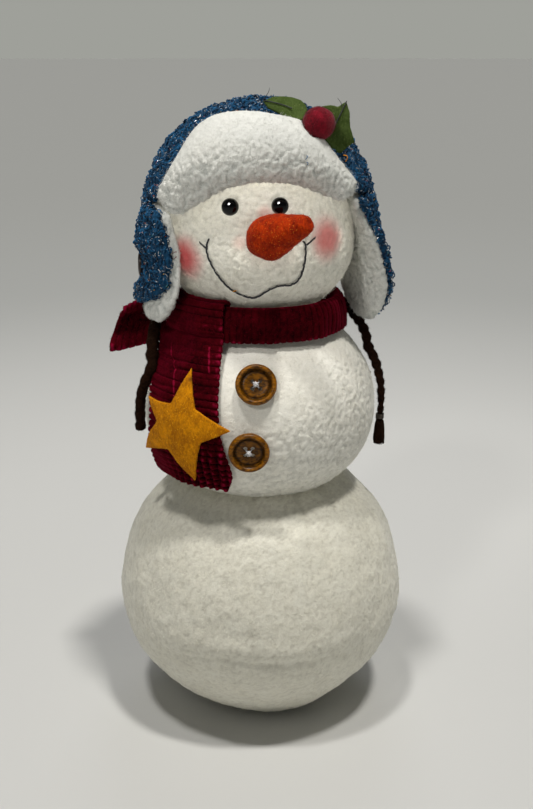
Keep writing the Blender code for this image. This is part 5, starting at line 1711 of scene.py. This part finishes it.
keep_number(bristles, "strand", np.repeat(rng.random(230), [len(p[0]) for p in lot]))
close_up(bristles, 0.002 * MM)
finish_piece(bristles, "brown_chenille")

wire, tree, shader = new_material("binding_wire_dark")
where = add(tree, "TexCoord")
tarnish = soft_noise(tree, 700.0, 3.0, where.outputs["Object"])
tone = mix(tree, {6: from_hex("#2B2622"), 7: from_hex("#6E655C")}, {0: tarnish.outputs["Fac"]})
tree.links.new(tone.outputs[2], shader.inputs["Base Color"])
shader.inputs["Metallic"].default_value = 0.8
shader.inputs["Roughness"].default_value = 0.38
u = np.linspace(0, 1, 150)
coil = [Vector(RIGHT_ARM[-1]) * MM + hand_down * ((0.4 + 2.8 * s) * MM)
        + Vector((math.cos(4.5 * 2 * math.pi * s), math.sin(4.5 * 2 * math.pi * s), 0)) * 2.05 * MM for s in u]
binding = mesh_piece("right_arm_binding_wire", *rod_arrays(coil, np.full(len(coil), 0.32 * MM), 10), material=wire)
close_up(binding, 0.002 * MM)
finish_piece(binding, "dark_wire", "right_arm_tie")

# %% [markdown]
# ## Stray bits
# A hand-made figure picks up lint. Two ends of the cap's blue yarn lie on the brim, a loop of yellow
# yarn sticks out behind its right end, a yellow hair is caught in the smile, and a few red fibres from
# the scarf have rubbed off on the lining of the left flap. Each is a short bent rod.

# %% Stray bits
STRAY_BITS = (
    ("blue_lint_upper", (22.0, -54.6, 315.6), (0.25, 0.1, 1.0), 1.7, 0.2, blue_boucle, "blue_boucle"),
    ("blue_lint_lower", (22.8, -54.8, 313.0), (-0.3, 0.0, 1.0), 1.3, 0.18, blue_boucle, "blue_boucle"),
    ("yellow_yarn_loop", (40.5, -43.2, 316.5), (0.4, 0.2, -1.0), 3.4, 0.2, mustard_felt, "mustard_felt"),
    ("yellow_yarn_end", (-13.2, -45.8, 250.1), (1.0, -0.1, 0.2), 1.6, 0.22, mustard_felt, "mustard_felt"),
    ("red_lint_upper", (-43.8, -35.6, 267.4), (1.0, -0.6, 0.4), 2.4, 0.16, berry_felt, "red_felt"),
    ("red_lint_lower", (-43.2, -35.8, 264.6), (0.8, -0.6, 0.9), 2.0, 0.14, berry_felt, "red_felt"),
)
for name, start, way, length, thick, material, slot in STRAY_BITS:
    way = np.array(way) / np.linalg.norm(way)
    u = np.linspace(0, 1, 9)[:, None]
    line = (np.array(start) + way * length * u + np.array((0.4, -0.35, 0.3)) * length * np.sin(math.pi * u)) * MM
    points, faces = rod_arrays(line, np.full(len(line), thick * MM), 6)
    bit = mesh_piece(name, points, faces, {"nap": np.full(len(points), 0.9), "strand": np.full(len(points), 0.9)},
                     material)
    close_up(bit)
    finish_piece(bit, slot)

# %% [markdown]
# ## Lights for the face
# A studio would keep a small spotlight off everything but the face with a paper screen. Here a light is
# given a collection of the pieces that it may reach.

# %% Lights for the face
FACE_PIECES = ["head_fleece", "head_pile"]
EYE_PIECES = ["left_eye_bead", "right_eye_bead"]
LEFT_OUT = FACE_PIECES + ["lower_ball_fleece", "lower_ball_pile"]
CAP_PIECES = [piece.name for piece in scene.objects if piece.type == "MESH" and piece.name not in LEFT_OUT]
for light, names in ((cap_light, CAP_PIECES), (face_light, FACE_PIECES), (eye_light, EYE_PIECES)):
    lit = bpy.data.collections.new(light.name + "_reaches")
    for name in names:
        lit.objects.link(bpy.data.objects[name])
    light.light_linking.receiver_collection = lit
    print(light.name, "lights", len(names), "pieces")
